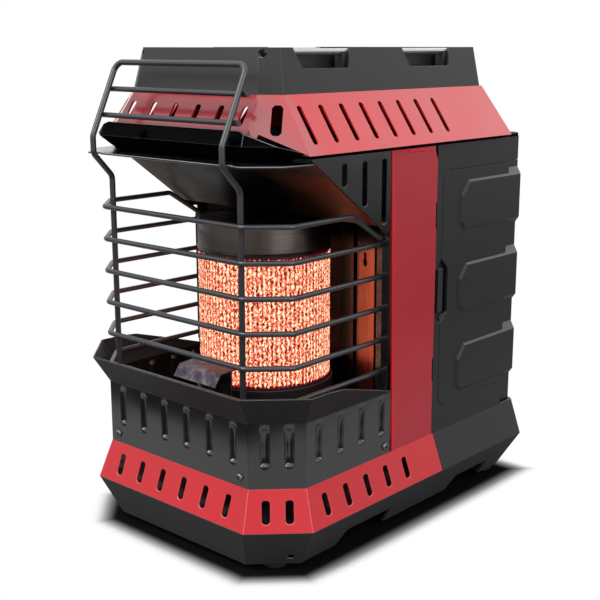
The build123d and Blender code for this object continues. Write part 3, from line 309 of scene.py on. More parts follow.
def tub_column(run, share, across):
    """Points of one column from the wall's foot up to the lip."""
    (xa, da), (xb, db) = TUB_WALL[run], TUB_WALL[run + 1]
    (pa, qa), (pb, qb) = TUB_LIP[run], TUB_LIP[run + 1]
    x, d = xa + (xb - xa) * share, da + (db - da) * share
    lip_x, lip_d = pa + (pb - pa) * share, qa + (qb - qa) * share
    long = ((xb - xa) ** 2 + (db - da) ** 2) ** 0.5
    inward = Vector((-(db - da), xb - xa)) / long
    points = [(x, d, TUB_LOW), (x, d, RIB_LOW - RIB_FOOT)]
    for z in RIB_ROWS:
        sink = rib_depth(across, z)
        points.append((x + inward.x * sink, d + inward.y * sink, z))
    points.append((x, d, TUB_NECK))
    top = TUB_RIM - max(0.0, (d - TAPER_START) * TAPER_FALL / (TAPER_END - TAPER_START))
    for k in range(1, FLARE_ROWS + 1):
        z = TUB_NECK + (top - TUB_NECK) * k / FLARE_ROWS
        rise = (z - TUB_NECK) / (TUB_RIM - TUB_NECK)
        points.append((x + (lip_x - x) * rise, d + (lip_d - d) * rise, z))
    return [at(*p) for p in points]


def tub_sheet():
    """The folded and pressed sheet of the tub, outer face only."""
    shape = bmesh.new()
    columns = [[shape.verts.new(p) for p in tub_column(*c)] for c in tub_stations()]
    for left, right in zip(columns, columns[1:]):
        for k in range(len(left) - 1):
            widths = [(left[n].co - right[n].co).length for n in (k, k + 1)]
            if max(widths) > 1e-7:
                shape.faces.new((left[k], right[k], right[k + 1], left[k + 1]))
    bmesh.ops.remove_doubles(shape, verts=shape.verts, dist=1e-6)
    for face in shape.faces:
        face.smooth = True
        face.material_index = 2 if face.calc_center_median().z > TUB_NECK * MM else 0
    for edge in shape.edges:
        edge.smooth = len(edge.link_faces) != 2 or edge.calc_face_angle(0) < radians(TUB_CREASE)
    return shape


def thicken(made, sheet_mm, offset=0.0, even=False):
    """Gives a bare surface the thickness of its sheet."""
    thick = made.modifiers.new("sheet", "SOLIDIFY")
    thick.thickness = sheet_mm * MM
    thick.offset = offset
    thick.use_even_offset = even


tub = piece("tub", tub_sheet(), black_enamel, "housing", "black_paint", "burner_tub")
thicken(tub, SHEET_MM, offset=-1.0, even=True)
roll(tub, 0.45, sharper_than=30.0)
tub.data.materials.append(flare_enamel)

# ---------------------------------------------------------------- screws
# Zinc-plated pan-head screws with a cross recess hold the tub and the visor. They were turned and
# rolled, so each head has a bright rim and a dark cross.


def bare_metal(name, colour, metallic, grain_mm, rough, detail=2.0, relief=None):
    """Metal with its tool marks as broken gloss. The grain has a size along each axis, and the
    relief, where there is one, has a strength and a height in mm."""
    material = finish_named(name)
    place = add(material, "TexCoord").outputs["Object"]
    stretch = add(material, "Mapping", {"Scale": [1 / (size * MM) for size in grain_mm]}, {"Vector": place})
    marks = add(material, "TexNoise", {"Scale": 1.0, "Detail": detail}, {"Vector": stretch.outputs[0]})
    gloss = add(material, "MapRange", {1: 0.3, 2: 0.7, 3: rough[0], 4: rough[1]}, {0: marks.outputs[0]})
    metal = add(material, "BsdfPrincipled", {"Base Color": linear(colour), "Metallic": metallic},
                {"Roughness": gloss.outputs[0]})
    if relief:
        strength, height_mm = relief
        bump = add(material, "Bump", {"Strength": strength, "Distance": height_mm * MM},
                   {"Height": marks.outputs[0]})
        material.node_tree.links.new(bump.outputs[0], metal.inputs["Normal"])
    add(material, "OutputMaterial", links={0: metal.outputs[0]})
    return material


plated_zinc = bare_metal("zinc_plated_steel", "#6c6d70", 1.0, (1.5, 1.5, 1.5), (0.25, 0.45))
SCREW_RADIUS, SCREW_RISE, SCREW_SIDES = 3.4, 2.2, 24
DOME = [(1.0, 0.0), (1.0, 0.35), (0.93, 0.62), (0.8, 0.82), (0.6, 0.95)]
CROSS_LONG, CROSS_WIDE, CROSS_DEEP, CROSS_TAPER = 2.1, 0.55, 1.1, 0.6


def circle(radius, sides):
    """Points round a circle."""
    turns = [2 * pi * k / sides for k in range(sides)]
    return [(cos(a) * radius, sin(a) * radius) for a in turns]


def turned_rings(shape, rings, smooth=True):
    """Closes rows of vertices round an axis into faces."""
    for low, high in zip(rings, rings[1:]):
        for k in range(len(low)):
            n = (k + 1) % len(low)
            shape.faces.new((low[k], low[n], high[n], high[k])).smooth = smooth


def pan_head(shape, centre, outward):
    """A domed screw head with a cross recess, standing on a wall."""
    turn = outward.to_track_quat("Z", "Y")

    def row(outline, z):
        return [shape.verts.new(centre + turn @ (Vector((x, y, z)) * MM)) for x, y in outline]

    rings = [row(circle(share * SCREW_RADIUS, SCREW_SIDES), rise * SCREW_RISE) for share, rise in DOME]
    turned_rings(shape, rings)
    quarter = [(CROSS_WIDE, CROSS_WIDE), (CROSS_WIDE, CROSS_LONG), (-CROSS_WIDE, CROSS_LONG)]
    cross = []
    for _ in range(4):
        cross += quarter
        quarter = [(-y, x) for x, y in quarter]
    brim = row(cross, SCREW_RISE)
    hollow = row([(x * CROSS_TAPER, y * CROSS_TAPER) for x, y in cross], SCREW_RISE - CROSS_DEEP)
    turned_rings(shape, [brim, hollow], smooth=False)
    shape.faces.new(hollow)
    edges = [shape.edges.get(pair) for ring in (rings[-1], brim) for pair in zip(ring, ring[1:] + ring[:1])]
    bmesh.ops.triangle_fill(shape, use_beauty=True, edges=edges)


def screws(name, places, finish=plated_zinc):
    """A set of pan-head screws as one piece."""
    shape = bmesh.new()
    for centre, outward in places:
        pan_head(shape, centre, Vector(outward).normalized())
    bmesh.ops.recalc_face_normals(shape, faces=shape.faces)
    piece(name, shape, finish, "housing", "steel")


TUB_FRONT, TUB_SIDE = TUB_WALL[2][1], TUB_WALL[-1][0]
FRONT_SCREW, SIDE_SCREW = (75.0, 81.0), (143.0, 80.0)      # across and up, and back and up
tub_places = [(at(side * FRONT_SCREW[0], TUB_FRONT, FRONT_SCREW[1]), (0, -1, 0)) for side in (-1, 1)]
tub_places += [(at(side * TUB_SIDE, *SIDE_SCREW), (side, 0, 0)) for side in (-1, 1)]
screws("tub_screws", tub_places)

# ---------------------------------------------------------------- firebox
# The floor round the burner and the slanted deflector over it are black enamelled steel. Heat has
# taken their gloss and given them a brown tint.
heat_dulled = enamelled("heat_dulled_enamel", ("#0d0c0b", "#191411"), 0.5, 0.0, "#5a534c")
rolled_edges("firebox_sheet", 0.3, heat_dulled, "housing", "black_paint", "firebox_floor")

# The deflector hangs from the lip and turns the hot air forwards. The middle is painted dark, as the
# cap's shadow, and the sides are painted in the burner's glow: olive on the left, copper on the right.
DEFLECTOR_HALF = 115.0


def ramp_colours(tint, stops):
    """Fills a colour ramp with colours, by their places on it."""
    ramp = tint.color_ramp
    for end, (spot, colour) in zip(ramp.elements, (stops[0], stops[-1])):
        end.position, end.color = spot, linear(colour)
    for spot, colour in stops[1:-1]:
        ramp.elements.new(spot).color = linear(colour)


glow_and_shade_enamel = finish_named("heat_tint_painted_glow_enamel")
place = add(glow_and_shade_enamel, "TexCoord").outputs["Object"]
split = add(glow_and_shade_enamel, "SeparateXYZ", links={0: place})
patches = add(glow_and_shade_enamel, "TexNoise", {"Scale": 1 / (38 * MM), "Detail": 3.0}, {"Vector": place})
across = add(glow_and_shade_enamel, "MapRange", {1: -DEFLECTOR_HALF * MM, 2: DEFLECTOR_HALF * MM}, {0: split.outputs[0]})
drift = add(glow_and_shade_enamel, "Math", {"operation": "MULTIPLY_ADD", 1: 0.22, 2: -0.11}, {0: patches.outputs[0]})
share = add(glow_and_shade_enamel, "Math", {"operation": "ADD"}, {0: across.outputs[0], 1: drift.outputs[0]})
tint = add(glow_and_shade_enamel, "ValToRGB", links={0: share.outputs[0]})
# Painted shade in the middle, under the cap's shadow, and the burner's painted glow on the sides.
ramp_colours(tint, [(0.0, "#4a4238"), (0.3, "#33291e"), (0.46, "#0c0b09"), (0.66, "#0e0b08"),
                    (0.82, "#472a1b"), (1.0, "#7a3420")])
scorched = add(glow_and_shade_enamel, "MapRange", {1: 0.3, 2: 0.7, 3: 0.32, 4: 0.5}, {0: patches.outputs[0]})
sheet = add(glow_and_shade_enamel, "BsdfPrincipled", {"IOR": ENAMEL_IOR, "Specular IOR Level": 0.14},
            {"Base Color": tint.outputs[0], "Roughness": scorched.outputs[0]})
add(glow_and_shade_enamel, "OutputMaterial", links={0: sheet.outputs[0]})
rolled_edges("heat_deflector", 0.3, glow_and_shade_enamel, "housing", "black_paint", "deflector")

# A strip doubles the deflector's upper edge, with a long hole near each end for its rivets. Its
# left end is a smoky grey painted paler, as light on a face turned down, and the rest is dark brown.
DEFLECTOR_TOP, DEFLECTOR_FALL = (49.3, 328.2), 0.7294
STRIP_START, STRIP_END, STRIP_HALF, STRIP_SHEET, STRIP_PROUD = 55.0, 68.0, 113.5, 0.9, 0.1
HOLE_HALF, HOLE_RADIUS, HOLE_MIDDLE, HOLE_DEPTH, HOLE_STEPS = 3.2, 1.7, 88.0, 62.5, 6


def on_deflector(x, d, proud):
    """Point on the deflector's underside, or standing off it."""
    z = DEFLECTOR_TOP[1] - (d - DEFLECTOR_TOP[0]) * DEFLECTOR_FALL
    square = (1 + DEFLECTOR_FALL ** 2) ** 0.5
    return at(x, d - proud * DEFLECTOR_FALL / square, z - proud / square)


shape = bmesh.new()
edges = []
rims = [[(-STRIP_HALF, STRIP_START), (STRIP_HALF, STRIP_START),
         (STRIP_HALF, STRIP_END), (-STRIP_HALF, STRIP_END)]]
for side in (-1, 1):
    hole = []
    for end in (1, -1):
        x = side * HOLE_MIDDLE + end * HOLE_HALF
        for k in range(HOLE_STEPS + 1):
            a = pi * (k / HOLE_STEPS - 0.5 * end)
            hole.append((x + HOLE_RADIUS * cos(a), HOLE_DEPTH + HOLE_RADIUS * sin(a)))
    rims.append(hole)
for rim in rims:
    ring = [shape.verts.new(on_deflector(x, d, STRIP_PROUD)) for x, d in rim]
    edges += [shape.edges.new((a, b)) for a, b in zip(ring, ring[1:] + ring[:1])]
bmesh.ops.triangle_fill(shape, use_beauty=True, edges=edges)
bmesh.ops.recalc_face_normals(shape, faces=shape.faces)
PALE_TO, DARK_FROM = -70.0, 5.0
# Painted light: the grey is paler than the strip's own colour, as light on a face turned down.
strip_painted_light = enamelled("smoke_grey_enamel_painted_light", ("#8a8578", "#9a9486"), 0.4, 0.0, "#c8c2b4", shine=0.4)
split = add(strip_painted_light, "SeparateXYZ", links={0: add(strip_painted_light, "TexCoord").outputs["Object"]})
darker_right = add(strip_painted_light, "MapRange", {1: PALE_TO * MM, 2: DARK_FROM * MM}, {0: split.outputs[0]})
lay_over(strip_painted_light, "#2c1c14", darker_right)
thicken(piece("deflector_strip", shape, strip_painted_light, "housing", "black_paint"), STRIP_SHEET)

# ---------------------------------------------------------------- galvanised sheets
# The heat shield, the brackets and the gas pipes are zinc-plated steel, left unpainted: a grey
# metal with soft crystals.
galvanised = finish_named("galvanised_steel")
place = add(galvanised, "TexCoord").outputs["Object"]
crystals = add(galvanised, "TexVoronoi", {"Scale": 1 / (6 * MM)}, {"Vector": place})
tone = add(galvanised, "Mix", {"data_type": "RGBA", 6: linear("#77797b"), 7: linear("#9a9b9d")},
           {0: crystals.outputs["Color"]})
rough = add(galvanised, "MapRange", {3: 0.38, 4: 0.55}, {0: crystals.outputs["Color"]})
zinc = add(galvanised, "BsdfPrincipled", {"Metallic": 0.85},
           {"Base Color": tone.outputs[2], "Roughness": rough.outputs[0]})
add(galvanised, "OutputMaterial", links={0: zinc.outputs[0]})


def dress(material, *nodes):
    """Gives CAD nodes that keep their own shape a finish."""
    for node in nodes:
        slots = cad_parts[node].data.materials
        slots.clear()
        slots.append(material)


dress(galvanised, "heat_shield", "bay_bulkhead", "injector_bracket", "regulator_bracket", "valve_bracket",
      "tip_switch_frame", "distributor", "mixing_tube", "supply_tube", "burner_feed_tube", "pilot_tube")

# ---------------------------------------------------------------- reflector
# The reflector is bent from bright sheet in flat facets, with upright slots. It throws the burner's
# glow forwards. Heat has tinted it copper, and it is painted dark as shade behind the screen and
# along its top, going through brown to the copper.
DARK_HALF, COPPER_HALF, BLOTCH_MM = 40.0, 100.0, 5.0         # places across, each side of the middle
SHADE_LOW, SHADE_HIGH, SHADE_SPREAD = 236.0, 268.0, 90.0     # heights, and how far the painted shade under the deflector widens the dark
polished = bare_metal("heat_tinted_sheet_painted_shade", "#c0664c", 1.0, (0.5, 0.5, 60), (0.22, 0.42),
                      relief=(0.25, 0.02))
place = add(polished, "TexCoord").outputs["Object"]
split = add(polished, "SeparateXYZ", links={0: place})
aside = add(polished, "Math", {"operation": "ABSOLUTE"}, {0: split.outputs[0]})
blotch = add(polished, "TexNoise", {"Scale": 1 / (14 * MM), "Detail": 3.0}, {"Vector": place})
drift = add(polished, "Math", {"operation": "MULTIPLY_ADD", 1: 2 * BLOTCH_MM * MM, 2: -BLOTCH_MM * MM},
            {0: blotch.outputs[0]})
from_middle = add(polished, "Math", {"operation": "ADD"}, {0: aside.outputs[0], 1: drift.outputs[0]})
# Painted shade: the dark widens along the top, under the deflector.
deflector_shade = add(polished, "MapRange", {1: SHADE_LOW * MM, 2: SHADE_HIGH * MM, 4: SHADE_SPREAD * MM},
            {0: split.outputs[2]})
from_middle = add(polished, "Math", {"operation": "SUBTRACT"},
                  {0: from_middle.outputs[0], 1: deflector_shade.outputs[0]})
share = add(polished, "MapRange", {1: DARK_HALF * MM, 2: COPPER_HALF * MM}, {0: from_middle.outputs[0]})
tint = add(polished, "ValToRGB", links={0: share.outputs[0]})
ramp_colours(tint, [(0.0, "#1d1716"), (0.12, "#2b1d19"), (0.22, "#5c3728"), (0.36, "#6b4030"),
                    (0.42, "#b0664f"), (1.0, "#c0664c")])
polished.node_tree.links.new(tint.outputs[0], shader_of(polished).inputs["Base Color"])
rolled_edges("bright_reflector", 0.25, polished, "housing", "reflector_sheet", "reflector")

# ---------------------------------------------------------------- burner
# The screen is a sleeve knitted from heat-proof wire, fluted down its length. It glows from white
# on the ridges to red in the hollows when the gas burns inside it. The real loops are near 1 mm,
# and are drawn about twice as large so that they show.
screen_low, screen_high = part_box("burner_screen")
SCREEN_RADIUS = (screen_high.x - screen_low.x) / 2 / MM
BURNER_DEPTH = (screen_low.y + screen_high.y) / 2 / MM - FRONT_EDGE

# In mm, but for the sleeve's noise, which is in cells to a millimetre.
FLUTES, FLUTE_SIDES = 92, 4
KNIT_PITCH, KNIT_RELIEF, KNIT_LOOPS, KNIT_GAP, KNIT_WALL = 1.15, 0.9, 0.55, 0.1, 1.4


def ring_at(shape, radius, z, sides):
    """A level ring of vertices round the burner's axis."""
    return [shape.verts.new(at(x, BURNER_DEPTH + y, z)) for x, y in circle(radius, sides)]


def knitted_sleeve():
    """The screen's skin, pushed in and out by its flutes and its loops."""
    shape = bmesh.new()
    sides = FLUTES * FLUTE_SIDES
    low, high = screen_low.z / MM, screen_high.z / MM
    rows = round((high - low) / KNIT_PITCH)
    rings = []
    for i in range(rows + 1):
        z = low + (high - low) * i / rows
        relief = 0.0 if i in (0, rows) else KNIT_RELIEF
        ring = []
        for k, (x, y) in enumerate(circle(SCREEN_RADIUS, sides)):
            flute = 0.5 + 0.5 * cos(2 * pi * k / FLUTE_SIDES)
            loops = max(0.0, min(1.0, noise.noise(Vector((x, y, z)) * KNIT_LOOPS) + 0.5))
            sink = relief * (0.45 * (1 - flute) + 0.55 * loops)
            share = (SCREEN_RADIUS - KNIT_GAP - sink) / SCREEN_RADIUS
            ring.append(shape.verts.new(at(x * share, BURNER_DEPTH + y * share, z)))
        rings.append(ring)
    turned_rings(shape, rings)
    lining = [ring_at(shape, SCREEN_RADIUS - KNIT_WALL, z, sides) for z in (high, low)]
    turned_rings(shape, [rings[-1], *lining, rings[0]])
    return shape


LOOPS_ACROSS, LOOPS_UP = 0.66, 0.4               # loops to a millimetre
WAVE_PERIOD, FLUTE_PITCH = 0.314, 4.0            # the wave's own period, and the flutes' in mm
glowing = finish_named("knitted_alloy_wire_glowing")
split = add(glowing, "SeparateXYZ", links={0: add(glowing, "TexCoord").outputs["Object"]})
deep = add(glowing, "Math", {"operation": "SUBTRACT", 1: (FRONT_EDGE + BURNER_DEPTH) * MM},
           {0: split.outputs[1]})
angle = add(glowing, "Math", {"operation": "ARCTAN2"}, {0: deep.outputs[0], 1: split.outputs[0]})
round_mm = add(glowing, "Math", {"operation": "MULTIPLY", 1: SCREEN_RADIUS}, {0: angle.outputs[0]})
up_mm = add(glowing, "Math", {"operation": "DIVIDE", 1: MM}, {0: split.outputs[2]})
unrolled = add(glowing, "CombineXYZ", links={0: round_mm.outputs[0], 1: up_mm.outputs[0]})
stretch = add(glowing, "Mapping", {"Scale": (LOOPS_ACROSS, LOOPS_UP, 1.0)}, {"Vector": unrolled.outputs[0]})
loops = add(glowing, "TexNoise", {"Scale": 1.0, "Detail": 3.0, "Roughness": 0.6, "Distortion": 0.9},
            {"Vector": stretch.outputs[0]})
flutes = add(glowing, "TexWave", {"wave_type": "BANDS", "bands_direction": "X",
                                  "Scale": WAVE_PERIOD / FLUTE_PITCH, "Distortion": 1.2,
                                  "Detail": 1.0, "Detail Scale": 1.5}, {"Vector": unrolled.outputs[0]})
heat = add(glowing, "Mix", {"data_type": "FLOAT", 0: 0.1}, {2: loops.outputs[0], 3: flutes.outputs[1]})


def cooled(end, inward_mm, cold_mm):
    """How much cooler the mesh is near one of its ends, where the cap or the dish takes its heat."""
    return add(glowing, "MapRange", {1: end + inward_mm * MM, 2: end + cold_mm * MM, 4: 0.3},
               {0: split.outputs[2]})


near_cap, near_dish = cooled(screen_high.z, -3.5, -0.5), cooled(screen_low.z, 4.0, 1.0)
cool = add(glowing, "Math", {"operation": "ADD"}, {0: near_cap.outputs[0], 1: near_dish.outputs[0]})
heat = add(glowing, "Math", {"operation": "SUBTRACT"}, {0: heat.outputs[0], 1: cool.outputs[0]})
glow = add(glowing, "ValToRGB", links={0: heat.outputs[0]})
ramp_colours(glow, [(0.37, "#1c0410"), (0.42, "#84101a"), (0.465, "#e03a24"), (0.51, "#f87a54"),
                    (0.555, "#ffbe94"), (0.6, "#fff6d0")])
wire = add(glowing, "BsdfPrincipled",
           {"Base Color": linear("#1c120f"), "Metallic": 0.5, "Roughness": 0.6, "Emission Strength": 1.25},
           {"Emission Color": glow.outputs[0]})
add(glowing, "OutputMaterial", links={0: wire.outputs[0]})
piece("glowing_sleeve", knitted_sleeve(), glowing, "housing", "screen", "burner_screen")

# The cap is spun from bright steel, brushed round and crimped over the screen. Heat has darkened
# it to a brown grey. The dish that holds the screen's foot is enamelled like the firebox.
brushed = bare_metal("brushed_spun_steel", "#48423f", 1.0, (90, 90, 0.7), (0.24, 0.4), detail=3.0,
                     relief=(0.3, 0.02))


def spun(profile):
    """The cap as a closed turned shape, from radii and heights."""
    shape = bmesh.new()
    rings = [ring_at(shape, r, z, CAP_SIDES) for r, z in profile]
    turned_rings(shape, rings)
    shape.faces.new(rings[-1])
    shape.faces.new(list(reversed(rings[0])))
    bmesh.ops.recalc_face_normals(shape, faces=shape.faces)
    for edge in shape.edges:
        edge.smooth = edge.calc_face_angle(0) < radians(CAP_CREASE)
    return shape


cap_low, cap_high = (v.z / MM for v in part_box("burner_cap"))
CAP_LIP, CAP_RADIUS, CAP_CROWN, CAP_SIDES, CAP_CREASE = 57.9, 57.3, 20.0, 96, 32.0
crimp = [(-1.4, 0.0), (-0.3, 0.0), (0.0, 0.5), (0.0, 1.6), (-0.5, 2.2)]
neck = [(0.2, 2.7), (0.0, 3.4)]
shoulder = [(0.0, 2.6), (-0.4, 1.3), (-1.4, 0.4), (-2.6, 0.0)]
cap_profile = [(CAP_LIP + out, cap_low + up) for out, up in crimp]
cap_profile += [(CAP_RADIUS + out, cap_low + up) for out, up in neck]
cap_profile += [(CAP_RADIUS + out, cap_high - down) for out, down in shoulder] + [(CAP_CROWN, cap_high)]
piece("screen_cap", spun(cap_profile), brushed, "housing", "steel", "burner_cap")
rolled_edges("screen_dish", 0.3, heat_dulled, "housing", "galvanised", "burner_base")

# ---------------------------------------------------------------- jet and pilot
# The jet and the pilot head are turned from brass bar, which leaves a fine sheen. The spark rod is
# ceramic with a white glossy glaze, and the probe beside it is drawn steel.
brass = bare_metal("turned_brass", "#b98f4a", 1.0, (0.8, 0.8, 0.8), (0.22, 0.38))
dress(brass, "injector", "pilot_burner", "inlet_collar", "valve_plunger")
ceramic = enamelled("glazed_ceramic", ("#d9d6cc", "#e6e3da"), 0.2, 0.4, "#f2efe8")
dress(ceramic, "spark_electrode")
dress(brushed, "thermocouple", "valve_stem", "hinge_pins", "tip_pendulum")

# The pilot's shield is thin bare steel that has buckled a little and gone violet-grey in the flame.
blued = finish_named("flame_blued_steel")
place = add(blued, "TexCoord").outputs["Object"]
stain = add(blued, "TexNoise", {"Scale": 1 / (9 * MM), "Detail": 4.0, "Distortion": 0.6}, {"Vector": place})
tint = add(blued, "ValToRGB", links={0: stain.outputs[0]})
ramp_colours(tint, [(0.35, "#3a3640"), (0.52, "#544c57"), (0.68, "#7a6f74")])
dents = add(blued, "Bump", {"Strength": 0.7, "Distance": 0.8 * MM}, {"Height": stain.outputs[0]})
metal = add(blued, "BsdfPrincipled", {"Metallic": 0.8, "Roughness": 0.42},
            {"Base Color": tint.outputs[0], "Normal": dents.outputs[0]})
add(blued, "OutputMaterial", links={0: metal.outputs[0]})
dress(blued, "pilot_shield")

# ---------------------------------------------------------------- cheeks and side panels
# Each cheek is a slotted black sheet that folds into a post. The red panel behind it is the same
# steel with a hem at the front and top, where the enamel is brighter than on the satin flat. Its
# inner face, turned to the middle, is coloured near black.
for side in ("right", "left"):
    rolled_edges("cheek_sheet_" + side, 0.3, black_enamel, "housing", "black_paint", "cheek_" + side)
side_enamel = enamelled("red_satin_enamel", ("#ac2230", "#b62a38"), 0.42, 0.0, "#e8505a")
panel_low, panel_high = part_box("side_panel_right")
FRONT_HEM, TOP_HEM, PANEL_LEAN, TURNED_INWARD = 4.2, 3.4, 6.0, -0.02
split = add(side_enamel, "SeparateXYZ", links={0: add(side_enamel, "TexCoord").outputs["Object"]})
lean = PANEL_LEAN * MM / (panel_high.z - panel_low.z)
along = add(side_enamel, "Math", {"operation": "MULTIPLY_ADD", 1: lean},
            {0: split.outputs[2], 2: split.outputs[1]})
hem_end = panel_low.y + lean * panel_high.z + FRONT_HEM * MM
front_hem = add(side_enamel, "Math", {"operation": "LESS_THAN", 1: hem_end}, {0: along.outputs[0]})
top_hem = add(side_enamel, "Math", {"operation": "GREATER_THAN", 1: panel_high.z - TOP_HEM * MM},
              {0: split.outputs[2]})
lay_over(side_enamel, "#cc1a26", add(side_enamel, "Math", {"operation": "MAXIMUM"},
                                     {0: front_hem.outputs[0], 1: top_hem.outputs[0]}))

# A face turned to the middle has its normal and its place across on opposite sides of zero.
facing = add(side_enamel, "SeparateXYZ", links={0: add(side_enamel, "NewGeometry").outputs["Normal"]})
away = add(side_enamel, "Math", {"operation": "MULTIPLY"}, {0: facing.outputs[0], 1: split.outputs[0]})
lay_over(side_enamel, "#140c0a", add(side_enamel, "Math", {"operation": "LESS_THAN", 1: TURNED_INWARD},
                                     {0: away.outputs[0]}))
for side in ("right", "left"):
    rolled_edges("red_panel_" + side, 0.3, side_enamel, "housing", "red_paint", "side_panel_" + side)

# ---------------------------------------------------------------- hood
# The hood is four folded sheets: the visor and the lip under it in black, the deck over the panels,
# and the red slotted band that slopes in to the tray. Soot has taken all gloss off the visor and
# the deck.
sooted = enamelled("sooted_black_enamel", ("#020203", "#040405"), 0.6, 0.0, "#8a8b90", shine=0.02)
rolled_edges("visor_sheet", 0.3, sooted, "housing", "black_paint", "visor")
rolled_edges("brow_lip", 0.5, black_enamel, "housing", "black_paint", "brow_plate")
rolled_edges("deck_sheet", 0.5, sooted, "housing", "black_paint", "roof_deck")

# The upper band's front and its corners are painted a darker red, as shade, under a fuller clear
# coat. Its flanks are as they were sprayed.
SHADE_FULL_TO, SHADE_NONE_FROM, SPRAYED_GLOSS, FRONT_GLOSS = 34.0, 62.0, 0.2, 1.0
front_shaded_red = enamelled("red_enamel_front_painted_shade", ("#c2151f", "#ce1d28"), 0.3, SPRAYED_GLOSS, "#f08088", shine=0.4)
# Painted shade: the red is laid darker towards the front.
split = add(front_shaded_red, "SeparateXYZ", links={0: add(front_shaded_red, "TexCoord").outputs["Object"]})
heat = add(front_shaded_red, "MapRange", {1: (FRONT_EDGE + SHADE_FULL_TO) * MM, 2: (FRONT_EDGE + SHADE_NONE_FROM) * MM,
                               3: 1.0, 4: 0.0}, {0: split.outputs[1]})
lay_over(front_shaded_red, "#8e1220", heat)
glaze = add(front_shaded_red, "MapRange", {3: SPRAYED_GLOSS, 4: FRONT_GLOSS}, {0: heat.outputs[0]})
front_shaded_red.node_tree.links.new(glaze.outputs[0], shader_of(front_shaded_red).inputs["Coat Weight"])
rolled_edges("slotted_band_high", 0.4, front_shaded_red, "housing", "red_paint", "upper_band")

# The upper band's sheet runs on a little way down behind the visor, whose top edge falls at both
# ends. Two screws, painted over with the visor, hold them together.
HOOD_BASE, VISOR_EDGE, VISOR_FLAT, VISOR_FALL = 332.7, 350.5, 76.5, 0.445
HOOD_FRONT, HOOD_FALL_BACK, HOOD_CORNER, CORNER_CLOSES, FACET_SLOPE = 13.3, 0.619, 80.7, 0.234, 0.717
TAIL_HALF, TAIL_RISE, TAIL_DROP, TAIL_TAPER, TAIL_GAP, TAIL_SHEET = 84.0, 0.8, 9.0, 0.4, 0.6, 1.0


def on_hood_front(x, z):
    """Point just behind the upper band's front face, or behind the facet beside it."""
    front = HOOD_FRONT + HOOD_FALL_BACK * (z - HOOD_BASE)
    corner = HOOD_CORNER - CORNER_CLOSES * (z - HOOD_BASE)
    return at(x, front + FACET_SLOPE * max(0.0, abs(x) - corner) + TAIL_GAP, z)


shape = bmesh.new()
rows = []
for x in (-TAIL_HALF, -VISOR_FLAT, VISOR_FLAT, TAIL_HALF):
    fall = VISOR_FALL * (abs(x) - VISOR_FLAT)
    levels = (VISOR_EDGE - fall + TAIL_RISE, VISOR_EDGE - fall - TAIL_DROP + TAIL_TAPER * fall)
    rows.append([shape.verts.new(on_hood_front(x, z)) for z in levels])
for (a, b), (c, d) in zip(rows, rows[1:]):
    shape.faces.new((a, b, d, c))
bmesh.ops.recalc_face_normals(shape, faces=shape.faces)
thicken(piece("hood_tail", shape, front_shaded_red, "housing", "red_paint"), TAIL_SHEET)
VISOR_SCREWS, VISOR_FACE, VISOR_SCREW_UP = (-28.0, 74.0), 10.5, 344.0
screws("visor_screws", [(at(x, VISOR_FACE, VISOR_SCREW_UP), (0, -1, 0.2)) for x in VISOR_SCREWS], sooted)

# ---------------------------------------------------------------- tray
# The tray on top is a moulding like the plinth, with two notches in each side. A drawn steel bar
# lies across each notch and makes a tie-down or a grip. Its plating is bright, with faint lines.
rolled_edges("tray", 0.8, black_polypropylene, "housing", "black_moulding", "top_tray")
plated_bar = bare_metal("plated_steel_bar", "#b4b6b9", 0.9, (0.5, 30, 0.5), (0.3, 0.45))
dress(plated_bar, "tie_bars")

# Behind each notch the moulding turns in to a shallow pocket, so no daylight shows past the bar.
POCKET_BACK, POCKET_WALL, POCKET_SIDE = 62.0, 2.5, 2.0
POCKETS = [(62.0, 140.0), (197.5, 278.0)]              # front and rear
POCKET_LEVELS = [(378.5, 83.3), (405.0, 77.2)]         # height, and reach to the leaning wall
shape = bmesh.new()
for side in (-1, 1):
    for front, rear in POCKETS:
        inner, near, deep = POCKET_BACK + POCKET_WALL, front + POCKET_SIDE, rear - POCKET_SIDE
        rings = []
        for z, reach in POCKET_LEVELS:
            plan = [(reach, front), (POCKET_BACK, front), (POCKET_BACK, rear), (reach, rear),
                    (reach, deep), (inner, deep), (inner, near), (reach, near)]
            rings.append([shape.verts.new(at(side * x, d, z)) for x, d in plan])
        turned_rings(shape, rings, smooth=False)
        shape.faces.new(rings[0])
        shape.faces.new(rings[1])
bmesh.ops.recalc_face_normals(shape, faces=shape.faces)
piece("notch_liners", shape, black_polypropylene, "housing", "black_moulding")

# ---------------------------------------------------------------- guard
# The guard is steel wire, bent and spot-welded, then powder coated in satin black: six hoops, two
# uprights joined over the top, and two bars across them.
powder_coat = enamelled("satin_powder_coat", ("#26272c", "#303137"), 0.3, 0.0, "#3a3b40", 1.2, 0.02, 0.6)
HOOP_RADIUS, UPRIGHT_RADIUS = 2.2, 2.4
HOOP_BEND, UPRIGHT_BEND, BEND_STEPS = 9.0, 8.0, 8


def bent_line(points, bend):
    """The axis of a bent wire: straight runs joined by arcs."""
    line = [points[0]]
    for before, corner, after in zip(points, points[1:], points[2:]):
        into, out = (corner - before).normalized(), (after - corner).normalized()
        turn = into.angle(out)
        reach = bend * MM * tan(turn / 2)
        start = corner - into * reach
        middle = corner + (out - into).normalized() * (bend * MM / cos(turn / 2))
        arm = start - middle
        axis = into.cross(out).normalized()
        for k in range(BEND_STEPS + 1):
            a = turn * k / BEND_STEPS
            line.append(middle + arm * cos(a) + axis.cross(arm) * sin(a))
    return line + [points[-1]]


